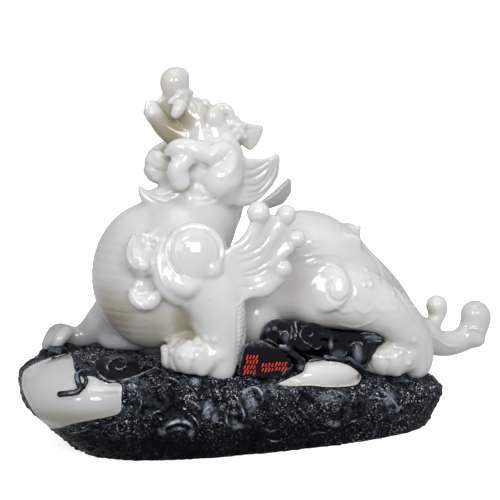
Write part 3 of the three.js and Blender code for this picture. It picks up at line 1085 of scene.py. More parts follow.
@dataclass
class Wings:
    """The fan-shaped wings, whose four plumes end in balls."""

    plumes: tuple[Rows, ...] = (
        ((222, 262, -46, 6), (238, 250, -53, 6), (251, 237, -57, 6), (257, 222, -59, 5.5)),
        ((224, 272, -47, 6), (246, 262, -55, 6), (264, 247, -58, 6), (279, 226, -59, 5.5)),
        ((226, 281, -47, 6), (250, 274, -55, 6), (272, 261, -58, 6), (288, 248, -60, 5.5)),
        ((228, 290, -47, 6), (246, 290, -54, 6.5), (262, 286, -56, 6.5), (275, 277, -58, 6)),
    )
    balls: Rows = (
        (258.3, 212.6, -59, 9), (286.2, 214.8, -59, 8), (296.4, 239, -59, 7.4), (281.8, 268.4, -59, 8),
    )
    web: Line = (
        (226, 296), (223, 280), (223, 262), (227, 250), (233, 244.5), (240, 242), (245, 238),
        (249.5, 231.7), (250.8, 225), (256, 219), (264, 217), (271, 213.5), (277, 217), (283, 222),
        (289, 226), (293, 233), (291.5, 243), (287, 250), (280.5, 253), (281, 259), (287, 266),
        (289.5, 273), (284.7, 282), (273.7, 289), (259, 295.5), (244.3, 300), (233, 302),
    )
    swell: Row = (258, 284, -55.5)
    swell_radii: Row = (16, 9.5, 12)
    swell_turn: Row = (-12, 0, -8)
    far: tuple[Rows, ...] = (
        ((-62, 43, 152, 8.5), (-46, 51, 157, 8.5), (-34, 57, 168, 6.5), (-32, 59, 180, 6)),
        ((-60, 45, 144, 9), (-42, 53, 146, 9), (-24, 59, 152, 7), (-19, 61, 160, 6)),
        ((-58, 45, 136, 9), (-38, 54, 134, 9), (-20, 60, 138, 7), (-14, 62, 144, 6)),
        ((-56, 44, 126, 9), (-34, 54, 122, 9), (-18, 59, 122, 7), (-12, 62, 127, 6)),
    )
    far_mass: tuple[Row, Row] = ((-36, 46, 142), (28, 10, 22))
    far_balls: Rows = ((-32, 59, 181, 8), (-18, 61, 163, 8), (-11, 62, 146, 7.5), (-10, 62, 129, 8))
    grooves: tuple[Line, ...] = (
        ((236, 256), (248, 253), (258, 248.5), (265, 242), (270, 233)),
        ((240, 251), (248, 244), (254, 233)),
        ((240, 273), (253, 270), (266, 263), (276, 254)),
        ((240, 277), (256, 274.5), (270, 267)),
        ((240, 287.5), (254, 286), (268, 280)),
        ((238, 263), (250, 260), (262, 254), (272, 243)),
    )

    def shape(self, clay: Clay) -> None:
        """Adds the web and the plumes."""
        clay.plate(self.web, depth=-57, thick=12)
        clay.mass(VIEW.lift(*self.swell), self.swell_radii, self.swell_turn)
        clay.mass(*self.far_mass)
        for rows in self.plumes:
            clay.limb(traced(rows))
        for rows in self.far:
            clay.limb(placed(rows))

    def refine(self, clay: Clay) -> None:
        """Adds the balls at the plumes' ends."""
        clay.balls(self.balls)
        for x, y, z, radius in self.far_balls:
            clay.mass((x, y, z), (radius,) * 3)

    def carve(self, skin: Skin) -> None:
        """Cuts the lines along the plumes."""
        skin.draw_all(self.grooves, half=1.7, depth=0.9, sides=BOTH)


@dataclass
class Head:
    """The raised head with its open mouth and swollen nose."""

    skull: Row = (-33, 0, 247.5)
    skull_radii: Row = (27, 24, 21)
    skull_turn: Row = (0, 20, 0)
    muzzle: Rows = ((-40, 0, 251, 19), (-53, 0, 263, 14), (-60, 0, 273, 10.5), (-63, 0, 283, 10))
    jaw: Rows = ((-44, 0, 240, 17), (-60, 0, 246, 13), (-73, 0, 254, 9.6), (-81, 0, 264, 7.5))
    nose: Row = (174.5, 83, 0)
    nose_radii: Row = (11.6, 11, 12.8)
    nose_top: Rows = ((175, 76.5, 0, 7.5), (182, 74.6, 0, 5.8), (183, 84, 0, 5))
    bridge: Rows = ((191, 92.4, -3, 2.4), (184, 93.4, -9, 3), (177, 97, -11, 3), (170, 102, -10, 2.4))
    drop: Rows = ((185, 99, -9, 3.5), (181, 105, -12, 4.8), (177.5, 111, -13, 5.2), (176.4, 113, -13, 4.8))
    lip: Line = ((155, 102), (158, 100), (162, 95), (168, 100), (172, 106), (166, 112), (158, 110))
    chin_cup: Line = (
        (144.8, 102.4), (146.7, 100), (154.5, 100.3), (158, 104), (158, 116), (149, 122), (146, 120),
        (144.2, 111.5),
    )
    chin_ball: Row = (151.5, 113, -4, 4)
    brow_mass: Row = (205, 103.8, -9, 4.2)
    brow: Rows = (
        (213, 109, -13, 3.2), (220, 107, -15, 4), (226.5, 108.5, -17, 4.3), (230.5, 113, -18, 3.8),
        (231.5, 119, -19, 3),
    )
    far_brow_drop: float = 4.0
    eye: Row = (214.5, 120, -17)
    eye_radii: Row = (8.2, 6, 11)
    lower_lid: Rows = (
        (205.5, 126, -18, 2.2), (209, 131, -19, 2.6), (215, 134, -20, 2.6), (222, 132, -20, 2.2),
    )
    cheek: Row = (-34, 0, 242.5)
    cheek_radii: Row = (20, 27, 12)
    cheek_turn: Row = (0, 30, 0)
    ear: Line = (
        (238, 128), (246, 122.5), (251, 124), (257, 124.6), (263.9, 125), (262.4, 133.4), (257.9, 143.6),
        (250.7, 151.4), (245, 148), (239, 140),
    )
    curls: Rows = (
        (237, 119.5, -18, 3), (234, 124, -21, 2.6), (239, 126, -22, 2.8), (244, 125, -21, 2.4),
        (236, 130.5, -22.5, 2.6), (242, 131.5, -22.5, 2.8), (238, 137, -23, 2.6), (245, 137, -22, 2.4),
    )
    wrinkles: tuple[Line, ...] = (
        ((182, 98), (187, 102), (192, 107), (194, 113)),
        ((190, 98), (196, 103), (198, 110)),
    )
    cheek_line: Line = ((202.2, 103), (203.4, 115), (203.8, 127), (206.8, 133), (213.5, 138))
    ear_line: Line = ((243, 130), (251, 129), (259, 128.5))

    def mould(self, clay: Clay) -> None:
        """Adds the skull and the mass of the cheeks."""
        clay.mass(stood(self.skull), self.skull_radii, self.skull_turn)
        clay.mass(stood(self.cheek), self.cheek_radii, self.cheek_turn)

    def shape(self, clay: Clay) -> None:
        """Adds the nose, lips, brows and ears."""
        clay.limb(placed(self.muzzle))
        clay.limb(placed(self.jaw), flat=0.9)
        clay.mass(VIEW.lift(*self.nose), self.nose_radii)
        clay.limb(traced(self.nose_top))
        clay.plate(self.lip, depth=4, thick=6)
        clay.plate(self.chin_cup, depth=1, thick=9)
        for side, lower in ((Side.NEAR, 0.0), (Side.FAR, self.far_brow_drop)):
            clay.limb(traced([(a, d + lower, y, r) for a, d, y, r in self.brow]), sides=(side,))
        clay.plate(self.ear, depth=-19, thick=6, sides=BOTH)

    def refine(self, clay: Clay) -> None:
        """Adds the eyes, the folds of the nose and the small curls."""
        clay.mass(VIEW.lift(*self.eye), self.eye_radii, sides=BOTH)
        for rows in (self.bridge, self.drop, self.lower_lid):
            clay.limb(traced(rows), sides=BOTH)
        clay.balls((self.chin_ball, self.brow_mass, *self.curls), BOTH)

    def carve(self, skin: Skin) -> None:
        """Cuts the wrinkles and the lids."""
        skin.draw_all((*self.wrinkles, self.cheek_line, self.ear_line), half=1.8, depth=0.9, sides=BOTH)


@dataclass
class Mane:
    """The crest locks, bulbs and fans of the mane, the chin's lobes and the beard."""

    crest: Rows = (
        (168, 152, -20, 4), (176, 148, -24, 7), (188, 149, -27, 8.8), (200, 153, -29, 8.6),
        (212, 155, -30, 8), (224, 150, -29, 8),
    )
    far_crest: Rows = ((207, 158, -26, 7), (213, 158, -29, 7), (224, 153, -28, 7))
    band: Rows = ((192, 154, -27, 6.5), (183, 161, -28, 7.5), (177, 170, -27, 8.2), (180, 179, -25, 8.8))
    bulb: Rows = (
        (228, 143, -23, 8), (230, 153, -26, 10.5), (227, 166, -28, 14), (222, 180, -27, 17),
        (226, 193, -25, 12),
    )
    chin: tuple[Rows, ...] = (
        ((170, 165, -10, 3.5), (160, 157, -6, 5.2), (154, 153, -2, 3.6)),
        ((170, 170, -9, 3.5), (157, 165, -3, 6), (149, 160, 1, 4.2)),
        ((170, 176, -8, 4.5), (157, 175, -2, 7), (149, 170, 2, 5)),
    )
    chin_ball: Row = (180, 181, -26, 8)
    hollow_fill: Row = (199, 171, -19)
    hollow_radii: Row = (11, 11, 15)
    fan: Line = (
        (244, 158), (254, 159), (263.5, 159), (271, 156.5), (278.5, 152.6), (280, 160), (278, 175.6),
        (271.5, 187), (261, 198.5), (250, 205), (239, 208), (230, 200), (232, 180),
    )
    fan_lines: tuple[Line, ...] = (
        ((239, 199), (258, 196), (272, 185), (278, 170), (278, 157)),
        ((242, 193), (257, 192), (268, 181), (275, 168), (277, 158)),
        ((243, 186), (258, 185), (267, 176), (274, 163)),
        ((243, 178), (254, 177), (265, 170), (273, 162)),
        ((244, 170), (254, 169), (264, 164), (271, 159)),
    )
    far_fan_shift: float = 9.0
    far_plume: Line = (
        (256, 205), (261, 201), (273, 192), (283, 182.5), (289, 177), (291.6, 181), (291, 193), (283, 204),
        (269, 209),
    )
    beard: Rows = (
        (139.2, 185, -3, 1), (141.2, 190.5, -5, 3), (147, 196.5, -6, 6), (156, 198, -8, 8.5),
        (168, 197.5, -10, 10.5), (180, 192, -12, 11),
    )
    strands: tuple[Line, ...] = (
        ((143, 191), (151, 199), (163, 202), (178, 197)),
        ((146, 190), (154, 195), (164, 197), (175, 193)),
        ((157, 150), (163, 157), (172, 163)),
        ((146, 164), (156, 169), (168, 172)),
        ((193, 160), (201, 163), (209, 166.5)),
    )
    glints: tuple[Line, ...] = (((211, 157), (217, 153), (224, 157)),)
    shine: Line = ((226, 144), (233, 151), (235, 160), (232, 169), (224, 178))

    def shape(self, clay: Clay) -> None:
        """Adds the locks, the fans and the beard."""
        for rows in (self.band, self.bulb, *self.chin):
            clay.limb(traced(rows), sides=BOTH)
        clay.mass(VIEW.lift(*self.hollow_fill), self.hollow_radii, sides=BOTH)
        clay.limb(traced(self.crest))
        clay.limb(traced(self.far_crest), sides=(Side.FAR,))
        clay.plate(self.fan, depth=-31, thick=7)
        clay.plate(shifted(self.fan, -self.far_fan_shift, 0), depth=-31, thick=7, sides=(Side.FAR,))
        clay.plate(self.far_plume, depth=30, thick=6)
        clay.limb(traced(self.beard))

    def refine(self, clay: Clay) -> None:
        """Adds the chin's ball."""
        clay.balls((self.chin_ball,), BOTH)

    def carve(self, skin: Skin) -> None:
        """Cuts the strands."""
        skin.draw_all(self.fan_lines, half=1.9, depth=1.1, sides=BOTH)
        skin.draw_all(self.strands, half=2.0, depth=1.0, sides=BOTH)
        skin.draw_all(self.glints, half=2.4, depth=-1.0, sides=BOTH)
        skin.draw(self.shine, half=6.0, depth=-1.6, sides=BOTH, ends=0.3)


@dataclass
class Rear:
    """The haunch's spiral, the flames at the heel and the curled tail."""

    roll: Row = (326.5, 287, -46.4)
    roll_radii: Row = (19, 7, 20.5)
    roll_turn: Row = (-17, 0, -30)
    dome: Row = (341.5, 290.5, -48.5)
    dome_radii: Row = (10.5, 8, 10.5)
    flames: tuple[Line, ...] = (
        ((330, 302), (338, 309), (346, 312), (357, 308)),
        ((351, 303), (358, 309), (365, 312.5), (375, 306)),
        ((371, 299), (377, 306), (383, 311), (388, 306)),
        ((384, 298), (389, 305), (393.5, 311), (398, 305)),
    )
    curls: Rows = (
        (366, 270, 3.0, 1.4), (369, 277, 2.6, 1.2), (370.5, 284.5, 4.0, 1.9), (365, 284, 3.0, 1.4),
        (393, 294, 3.2, 1.4),
    )
    tail_bud: Rows = ((436.6, 305.5, 5, 9.3), (437.2, 312, 5, 8.4), (435, 321, 3, 6.4), (430, 331, 1, 7.5))
    tail: Rows = (
        (422, 332, 0, 13), (434, 341.5, 3, 11.5), (447, 343.5, 4, 10.8), (460, 340.5, 5, 10.4),
        (471, 332, 5, 12), (476, 318, 5, 12.8), (475, 314.6, 5, 12.6),
    )
    tail_leaf: Row = (473.5, 337, 3)
    leaf_radii: Row = (10.5, 11, 9)
    leaf_turn: Row = (0, 30, 0)
    tail_lines: tuple[Line, ...] = (
        ((434.5, 336.5), (440, 341.5), (447, 345.5), (457, 346.5)),
        ((455, 338), (461, 332), (466, 325)),
        ((462, 336), (468, 329.5), (477, 329), (483, 333)),
    )
    notches: int = 9
    notch: Line = ((-1.5, 1.5), (1, 0), (2.5, 4))
    notch_start: tuple[float, float] = (388.5, 272)
    notch_step: tuple[float, float] = (3.9, 5.7)
    groove: Line = ((362, 247.5), (371, 254), (377, 262), (381, 272), (382, 283))
    rim_line: Line = ((383, 270), (391, 282), (401, 298), (411, 313), (419, 325))
    spirals: tuple[Line, ...] = (
        ((335, 278.5), (329.5, 284), (328.3, 291), (331, 298), (337, 301.5), (344, 300), (348.5, 294.5)),
    )
    ridges: tuple[Line, ...] = (
        ((354, 285), (356.5, 292), (354, 299.5)),
        ((337, 324), (355, 327), (368, 323), (377, 317)),
    )

    def shape(self, clay: Clay) -> None:
        """Adds the roll round the dome and the tail."""
        clay.mass(VIEW.lift(*self.roll), self.roll_radii, self.roll_turn, BOTH)
        clay.limb(traced(self.tail_bud))
        clay.limb(traced(self.tail))
        clay.mass(VIEW.lift(*self.tail_leaf), self.leaf_radii, self.leaf_turn)

    def refine(self, clay: Clay) -> None:
        """Adds the dome inside the roll."""
        clay.mass(VIEW.lift(*self.dome), self.dome_radii, sides=BOTH)

    def carve(self, skin: Skin) -> None:
        """Cuts the spirals, the flames and the line over the rump."""
        for across, down, radius, height in self.curls:
            skin.boss((across, down), radius, height, BOTH)
        skin.draw_all(self.spirals, half=2.2, depth=1.3, sides=BOTH, ends=0.12)
        skin.draw_all(self.ridges, half=2.2, depth=-0.9, sides=BOTH)
        skin.draw_all(self.flames, half=2.6, depth=-0.8, sides=BOTH, ends=0.6)
        skin.draw_all(self.tail_lines, half=1.8, depth=-1.5)
        skin.draw(self.groove, half=2.4, depth=1.6, sides=BOTH)
        skin.draw(self.rim_line, half=1.8, depth=1.0, sides=BOTH)
        for i in range(self.notches):
            across, down = (start + step * i for start, step in zip(self.notch_start, self.notch_step))
            skin.draw(shifted(self.notch, across, down), half=1.8, depth=-1.2, sides=BOTH)


@dataclass
class Animal:
    """The whole white animal, one casting."""

    torso: Torso = field(default_factory=Torso)
    legs: Legs = field(default_factory=Legs)
    scroll: ShoulderScroll = field(default_factory=ShoulderScroll)
    wings: Wings = field(default_factory=Wings)
    head: Head = field(default_factory=Head)
    mane: Mane = field(default_factory=Mane)
    rear: Rear = field(default_factory=Rear)
    voxels: Row = (3.0, 1.6, 1.1)
    shade_cover_reach: float = 60.0
    # Spots of the resin's warm yellow tint on the nose and head, and of painted shade on the jaw, chest,
    # belly and rear, which lie in shade: across, down, depth, radius and strength.
    tints_and_shades: Rows = (
        (160, 127, 0, 17, 1.0), (168, 132, -6, 16, 1.0), (184, 120, -12, 12, 0.8), (176, 125, -6, 14, 0.9),
        (236, 218, 0, 20, 0.3), (112, 315, -20, 34, 0.7), (182, 315, -40, 17, 0.7),
        (150, 322, -30, 30, 0.5), (272, 303, -30, 32, 0.15), (330, 322, -40, 24, 0.45),
        (384, 330, -36, 20, 0.45), (276, 190, 30, 34, 0.3), (148, 172, 2, 14, 0.35),
        (188, 178, -20, 12, 0.4), (310, 262, -45, 22, 0.25), (300, 285, -42, 28, 0.3),
        (173, 84, -8, 22, 0.3), (195, 116, -14, 24, 0.3), (190, 101, -8, 14, 0.22),
        (258, 136, -20, 18, 0.2), (204, 190, -24, 16, 0.25), (238, 200, -28, 12, 0.25),
    )
    # Spots greyed as painted shade on the far paw, the far plume and other places in shade: across, down,
    # depth, radius and strength.
    grey_shades: Rows = (
        (56, 336, 36, 34, 1.0), (82, 334, 34, 24, 0.9), (103, 316, 30, 30, 0.6), (278, 194, 30, 30, 0.5),
        (400, 358, -46, 36, 0.15), (400, 300, -25, 40, 0.45), (112, 250, -20, 45, 0.3),
        (150, 215, -20, 45, 0.2), (262, 178, -30, 24, 0.25), (450, 345, 4, 30, 0.12),
        (475, 308, 4, 20, 0.25),
    )

    def build(self) -> bpy.types.Mesh:
        """Kneads the animal in three passes and carves it.

        Returns:
            The skin in millimetres.
        """
        clay = Clay()
        for part in (self.torso, self.legs, self.head):
            part.mould(clay)
        coarse, middle, fine = self.voxels
        core = worked(clay.knead(coarse, rounds=8), [("SUBSURF", {"levels": 1, "render_levels": 1})])
        clay = Clay(core)
        for part in (self.torso, self.legs, self.scroll, self.wings, self.head, self.mane, self.rear):
            part.shape(clay)
        clay = Clay(clay.knead(middle, rounds=4))
        for part in (self.legs, self.scroll, self.wings, self.head, self.mane, self.rear):
            part.refine(clay)
        skin = Skin(clay.knead(fine, rounds=2))
        for part in (self.torso, self.legs, self.scroll, self.wings, self.head, self.mane, self.rear):
            part.carve(skin)
        return thinned(skin.finish())

    def dress(self, finish: Resin) -> bpy.types.Object:
        """Builds the piece and gives it its finish.

        Args:
            finish: The resin.

        Returns:
            The piece.
        """
        mesh = self.build()
        note_hollows(mesh, rounds=14, reach=1.6)
        note_shade_cover(mesh, self.shade_cover_reach)
        note_spots(mesh, "tint_and_shade", self.tints_and_shades)
        note_spots(mesh, "grey_shade", self.grey_shades)
        return piece(mesh, "pixiu_skin", "pixiu", finish)


def outline(angle: float, bow: float, stern: float, half_depth: float) -> tuple[float, float]:
    """Point of the rock's rounded outline.

    Args:
        angle: Direction from the middle, in radians.
        bow: Reach to the head end.
        stern: Reach to the tail end.
        half_depth: Reach to each side.

    Returns:
        The point's x and y.
    """
    cos, sin = math.cos(angle), math.sin(angle)
    reach = bow if cos < 0 else stern
    square = 0.78
    return (
        math.copysign(reach * abs(cos) ** square, cos),
        math.copysign(half_depth * abs(sin) ** square, sin),
    )


@dataclass
class Rock:
    """The black rock: its block, the pebble, the cloud bank, the swirls and the cut strokes."""

    voxel: float = 1.25
    unseen: float = -30.0
    sole: float = 1.2
    widest: Row = (192.5, 167.5, 74)
    foot: Row = (148, 154, 68.5)
    rim: Row = (170, 159, 64)
    bow_level: float = 56
    stern_level: float = 24
    side_level: float = 30
    rim_drop: float = 7
    pebble: Row = (-146, -16, 50)
    pebble_radii: Row = (49, 51, 29)
    pebble_end: float = 100.0
    bank: Rows = ((14, -1, 57, 34.5), (34, -1, 59, 36), (78, 0, 52.5, 32))
    bank_end: tuple[Row, Row] = ((-10, 14, 52), (26, 22, 31))
    lobes: tuple[tuple[Row, Row], ...] = (
        ((277, 333, -40), (13, 7, 11.5)),
        ((311, 336, -40.5), (13, 7, 11)),
        ((339.5, 346.5, -42), (8.5, 6, 9.5)),
        ((357, 352.5, -44), (8, 6, 10)),
        ((321, 376, -50), (34, 12, 13)),
        ((300, 367, -55), (4.5, 5, 4.5)),
    )
    lumps: tuple[tuple[Row, Row], ...] = (
        ((51, 353.5, 30), (10, 9, 6)),
        ((67, 348.5, 32), (8, 9, 5)),
        ((58, 351, 16), (8, 8, 5)),
    )
    cloud: Rows = (
        (272, 337, -32, 11), (284, 337, -32, 14.5), (300, 338.5, -32, 14.5), (312, 340, -32, 14),
        (327, 344.5, -33, 12.5), (342, 348, -34, 12.5), (356, 350, -35, 13), (368, 347, -31, 11),
        (380, 340, -27, 4),
    )
    straps: tuple[Rows, ...] = (
        (
            (296, 324.5, -42, 4), (312, 331, -44, 4.5), (330, 335.5, -44, 4.5), (352, 337.5, -43, 4.2),
            (370, 338, -41, 4), (382, 341, -39, 2.6),
        ),
        ((282, 347, -50, 2.6), (292, 353, -52, 3), (302, 361, -54, 3)),
        (
            (325, 356.5, -54, 1.7), (333, 358, -55, 1.8), (341, 360, -55, 2), (349, 358.5, -55, 2.2),
            (356, 365, -55, 2.4), (368, 369, -54, 2),
        ),
    )
    facet: Line = (
        (243, 346), (249, 341), (255, 340), (262, 340), (272, 345), (281, 351), (290, 359), (294, 364),
        (291, 371), (283, 377), (272, 381), (258, 381), (244, 378), (238, 372), (240, 358),
    )
    facet_depth: float = -45.0
    cloud_lines: tuple[Line, ...] = (
        ((263, 338), (272, 341), (281, 346), (290, 345)),
        ((279, 338), (280.5, 333), (285, 331.5), (288, 335), (286, 340)),
        ((290, 323), (292, 332), (290, 341)),
        ((295, 322), (296.5, 331), (294, 342)),
        (
            (308, 324.5), (302, 329), (300, 335), (303, 341), (310, 344.5), (316, 348.5), (321, 346),
            (324, 341),
        ),
        ((307.5, 335.5), (310.5, 336), (313, 332.5)),
        ((331, 353.5), (338, 357), (345, 354), (347, 348)),
        ((350, 347), (353, 343.5), (360, 343), (364, 348)),
        ((329, 340), (331, 344), (329.5, 349)),
        ((358, 334.5), (369, 333.8), (381, 336.5)),
        ((362, 338), (372, 336.6), (383, 338.6)),
        ((365, 342), (373, 340.4), (382, 341)),
        ((366, 366), (376, 370), (388, 372.6), (401, 376)),
        ((379, 369), (391, 371.2), (403, 374.4)),
    )
    scroll: tuple[float, float, float, float] = (117, 367, 23, 13.5)
    scroll_lines: tuple[Line, ...] = (
        ((95, 364), (97, 372), (103, 379), (112, 382), (122, 381), (136, 377), (150, 371), (162, 365)),
        (
            (109, 375), (107, 367), (112, 361), (120, 358.5), (125.5, 362), (124, 368), (119, 370.5),
            (115, 368.5), (117, 365),
        ),
        ((131, 353.5), (139, 358), (143, 365), (139, 371)),
    )
    tail: Line = (
        (97, 371), (89, 371), (82, 371.5), (77.5, 375.5), (78.5, 383), (80.5, 388.5), (75, 392.5),
        (67, 393.5), (60, 394.2),
    )
    hook: Line = ((84, 376), (86.5, 381), (83.5, 387.5))
    tail_edge: Line = ((95, 369), (88, 368.6), (80.5, 370.3), (76, 375), (77, 382), (78.6, 387))
    tail_half: float = 3.0
    knobs: np.ndarray = field(default_factory=lambda: np.zeros(1))
    relief: tuple[tuple[Line, float, float], ...] = (
        (((159.5, 433), (165, 426.5), (175, 421.5), (186, 422), (192.5, 428), (193, 436)), 3.6, 2.4),
        (((166, 436), (174, 429), (184, 429), (189, 436)), 2.6, 1.4),
        (((232, 398), (228.5, 408), (226, 417), (228.5, 425), (236, 428)), 2.2, 1.6),
        (((236.5, 397), (240.5, 406), (244, 416), (241, 425)), 2.2, 1.6),
        (((243, 397), (246.5, 390.5), (254, 388.5), (260.5, 393), (262, 402), (258, 409)), 2.8, 2.2),
        (((246.5, 397), (248, 403), (253, 409)), 1.4, 1.2),
        (((250.5, 395), (252.5, 401), (256.5, 406)), 1.4, 1.2),
        (((182, 399.2), (188.5, 400.5), (196, 404.3), (202.5, 412)), 1.5, 1.5),
        (((187, 413), (194, 418), (199, 426), (200, 432)), 1.5, 1.3),
        (((147.7, 413.3), (151, 415), (157, 411.5), (165.5, 412)), 1.4, 1.4),
        (((158, 415), (160.5, 419), (166, 420)), 1.4, 1.1),
        (((203, 420), (204.5, 411), (211, 405), (216, 403)), 1.5, 1.2),
        (((290, 407), (296, 415), (303, 424)), 1.5, 1.4),
        (((285, 411), (291, 419), (297, 426)), 1.5, 1.3),
        (((296, 404), (302, 411), (308, 419)), 1.4, 1.2),
        (((271, 415), (277, 412.5), (284, 409)), 1.4, 1.4),
        (((331, 409), (334, 403.5), (340, 405), (340, 411)), 1.6, 1.4),
        (((256, 426), (270, 430), (286, 430)), 1.5, 1.2),
        (((262, 437), (274, 441), (288, 439)), 1.5, 1.0),
        (((358, 402), (371, 397), (385, 399), (398, 391)), 1.8, 1.4),
        (((372, 388), (384, 393), (394, 402), (399, 412)), 1.8, 1.4),
        (((392, 383), (405, 381), (420, 384)), 1.8, 1.3),
        (((322, 394), (331, 391), (343, 395), (350, 403)), 1.6, 1.2),
        (((345, 425), (356, 420), (368, 421)), 1.6, 1.1),
        (((130, 386), (138, 393), (141, 404), (136, 414)), 1.6, 1.2),
        (((100, 427), (113, 423), (124, 417)), 1.5, 1.1),
        (((160, 376), (175, 380), (183, 388)), 1.6, 1.3),
        (((145, 371), (156, 369), (168, 373)), 1.5, 1.2),
        (((60, 434), (80, 431), (98, 425)), 1.6, 1.0),
        (((304, 436), (318, 432), (333, 434)), 1.5, 1.0),
    )
    bosses: Rows = (
        (195.5, 381.5, 5, 2.6), (193, 395.5, 4.5, 2.0), (212, 408.5, 4.4, 2.6), (207.5, 416, 4, 2.2),
        (222, 406.5, 5, 2.6), (233.5, 403, 4.5, 2.4), (233.5, 413, 5.5, 3.0), (233.5, 421, 5.5, 2.8),
        (251.5, 398, 8, 2.4), (276, 412, 4, 1.6), (311.5, 409.5, 6, 2.2), (336.5, 408.5, 4.5, 1.8),
        (268, 428, 9, 2.0), (285, 437, 8, 1.6), (148, 398, 9, 1.8), (178, 392, 7, 1.8), (170, 406, 7, 1.8),
        (180, 431, 6, 1.6), (216, 392, 7, 1.8), (232, 386, 6, 1.4), (296, 396, 8, 1.8), (352, 397, 8, 1.8),
        (376, 407, 8, 1.6), (404, 397, 8, 1.6), (420, 391, 7, 1.4), (115, 433, 8, 1.4), (147, 382, 6, 1.4),
        (87, 358, 6, 1.4), (150, 358, 6, 1.4), (326, 420, 8, 1.4),
    )
    both_sides: int = 3
    # Soft spots of painted highlight on the glossy forms: across, down, width, height and strength.
    highlight_spots: Rows = (
        (195, 381, 7, 7, 0.7), (208, 411, 6, 12, 0.85), (214, 418, 5, 8, 0.5), (236, 426, 10, 5, 0.6),
        (247, 392, 6, 8, 1.0), (252, 404, 7, 10, 0.8), (276, 389, 22, 8, 0.5), (134, 384, 16, 8, 0.4),
        (162, 431, 5, 5, 0.45), (191, 433, 4, 5, 0.45), (389, 398, 8, 12, 0.6), (397, 408, 9, 5, 0.9),
        (333, 424, 9, 4, 0.8), (330, 396, 24, 8, 0.4), (286, 337, 3.5, 8, 0.55), (285, 347, 9, 3, 0.4),
        (331, 344, 2.6, 8, 0.8), (338, 354, 9, 5, 0.6), (358, 354, 5.5, 13, 0.75), (374, 337, 12, 4, 0.5),
        (372, 371, 14, 4, 0.5),
    )
    window: Line = (
        (21.5, 377), (23.5, 371.5), (30, 366), (42, 360.5), (52, 357), (60, 355), (67, 353.5), (70.5, 354),
        (73, 360), (74, 367), (76, 372), (82, 376), (92, 376), (100, 380), (107, 383), (121, 384.5),
        (121.5, 398), (120.5, 412), (108, 417), (95, 419.5), (75, 423.5), (60, 427.5), (51, 428),
        (42, 421.5), (34, 412.5), (27.5, 402), (23.5, 393), (21.5, 385),
    )
    window_end: float = 130.0
    window_shade: tuple[float, float] = (404.0, 20.0)
    ledge: Line = ((88, 391.5), (104, 393), (121, 391.5))
    ledge_light: tuple[float, float, float] = (88.0, 386.0, 392.0)
    pool: Line = (
        (277, 384), (290, 378), (303, 372), (305.5, 365), (309.5, 360), (318, 358.3), (327, 361),
        (340, 362.5), (350, 366), (357, 371), (361.5, 376), (358.5, 383), (350, 386), (330, 387),
        (310, 385.5), (290, 386),
    )
    groups: tuple[tuple[float, float], ...] = ((252, 360), (249.5, 370.3), (267.5, 368), (281, 367))
    stroke: tuple[float, float, float] = (3.9, 3.2, 0.74)
    strokes: list[list[Vector]] = field(default_factory=list)

    def ring(self, share: float) -> Callable[[float], Row]:
        """Ring of the block at a share of its profile.

        Args:
            share: 0 at the foot and 1 at the middle of the top.

        Returns:
            What gives the ring's point at an angle.
        """
        def place(angle: float) -> Row:
            """The ring's point in a direction from the middle, in radians."""
            cos = math.cos(angle)
            end_level = self.bow_level if cos < 0 else self.stern_level
            level = self.side_level + (end_level - self.side_level) * cos * cos
            rings = (self.foot, self.widest, self.rim)
            foot, widest, rim = (np.array(outline(angle, *sizes)) for sizes in rings)
            if share < 0.4:
                rise = share / 0.4
                slope = max(0.0, cos)
                swell = math.sin(rise * math.pi / 2) * (1 - slope) + rise ** 0.8 * slope
                out = foot + (widest - foot) * swell
                return (*out, level * rise)
            if share < 0.7:
                rise = (share - 0.4) / 0.3
                out = widest + (rim - widest) * (1 - math.cos(rise * math.pi / 2))
                top = GROUND.top(*out) - self.rim_drop
                return (*out, level + (top - level) * math.sin(rise * math.pi / 2))
            rise = (share - 0.7) / 0.3
            out = rim * (1 - rise)
            return (*out, GROUND.top(*out) - self.rim_drop * (1 - min(1, rise * 4)) ** 2)
        return place

    def block(self, clay: Clay) -> None:
        """Adds the block."""
        form = bmesh.new()
        count, levels = 120, [0, 0.1, 0.2, 0.3, 0.4, 0.48, 0.56, 0.63, 0.7, 0.73, 0.78, 0.85, 0.93, 0.98]
        bmesh.ops.create_circle(form, segments=count, radius=1.0)
        ring = form.verts[:]
        angles = [math.atan2(vert.co.y, vert.co.x) for vert in ring]
        loop = form.edges[:]
        bmesh.ops.contextual_create(form, geom=loop)
        for share in levels:
            place = self.ring(share)
            if share:
                near = {vert: vert.co.copy() for vert in ring}
                new, loop = next_loop(form, loop)
                spots = KDTree(len(ring))
                for i, vert in enumerate(ring):
                    spots.insert(near[vert], i)
                spots.balance()
                order = {spots.find(vert.co)[1]: vert for vert in new}
                ring = [order[i] for i in range(count)]
            for vert, angle in zip(ring, angles):
                vert.co = place(angle)
        bmesh.ops.contextual_create(form, geom=loop)
        clay.take(form)

    def polished(self, clay: Clay) -> None:
        """Adds the forms that are smooth: the clouds, the facet and the bulge of the pool."""
        clay.limb(placed(self.bank), flat=0.92)
        clay.mass(*self.bank_end)
        clay.limb(traced(self.cloud))
        for place, radii in (*self.lobes, *self.lumps):
            sides = BOTH if place[0] > self.pebble_end else NEAR_ONLY
            clay.mass(VIEW.lift(*place), radii, sides=sides)
        for rows in self.straps:
            clay.limb(traced(rows), sides=BOTH)
        clay.plate(self.facet, depth=self.facet_depth, thick=12)

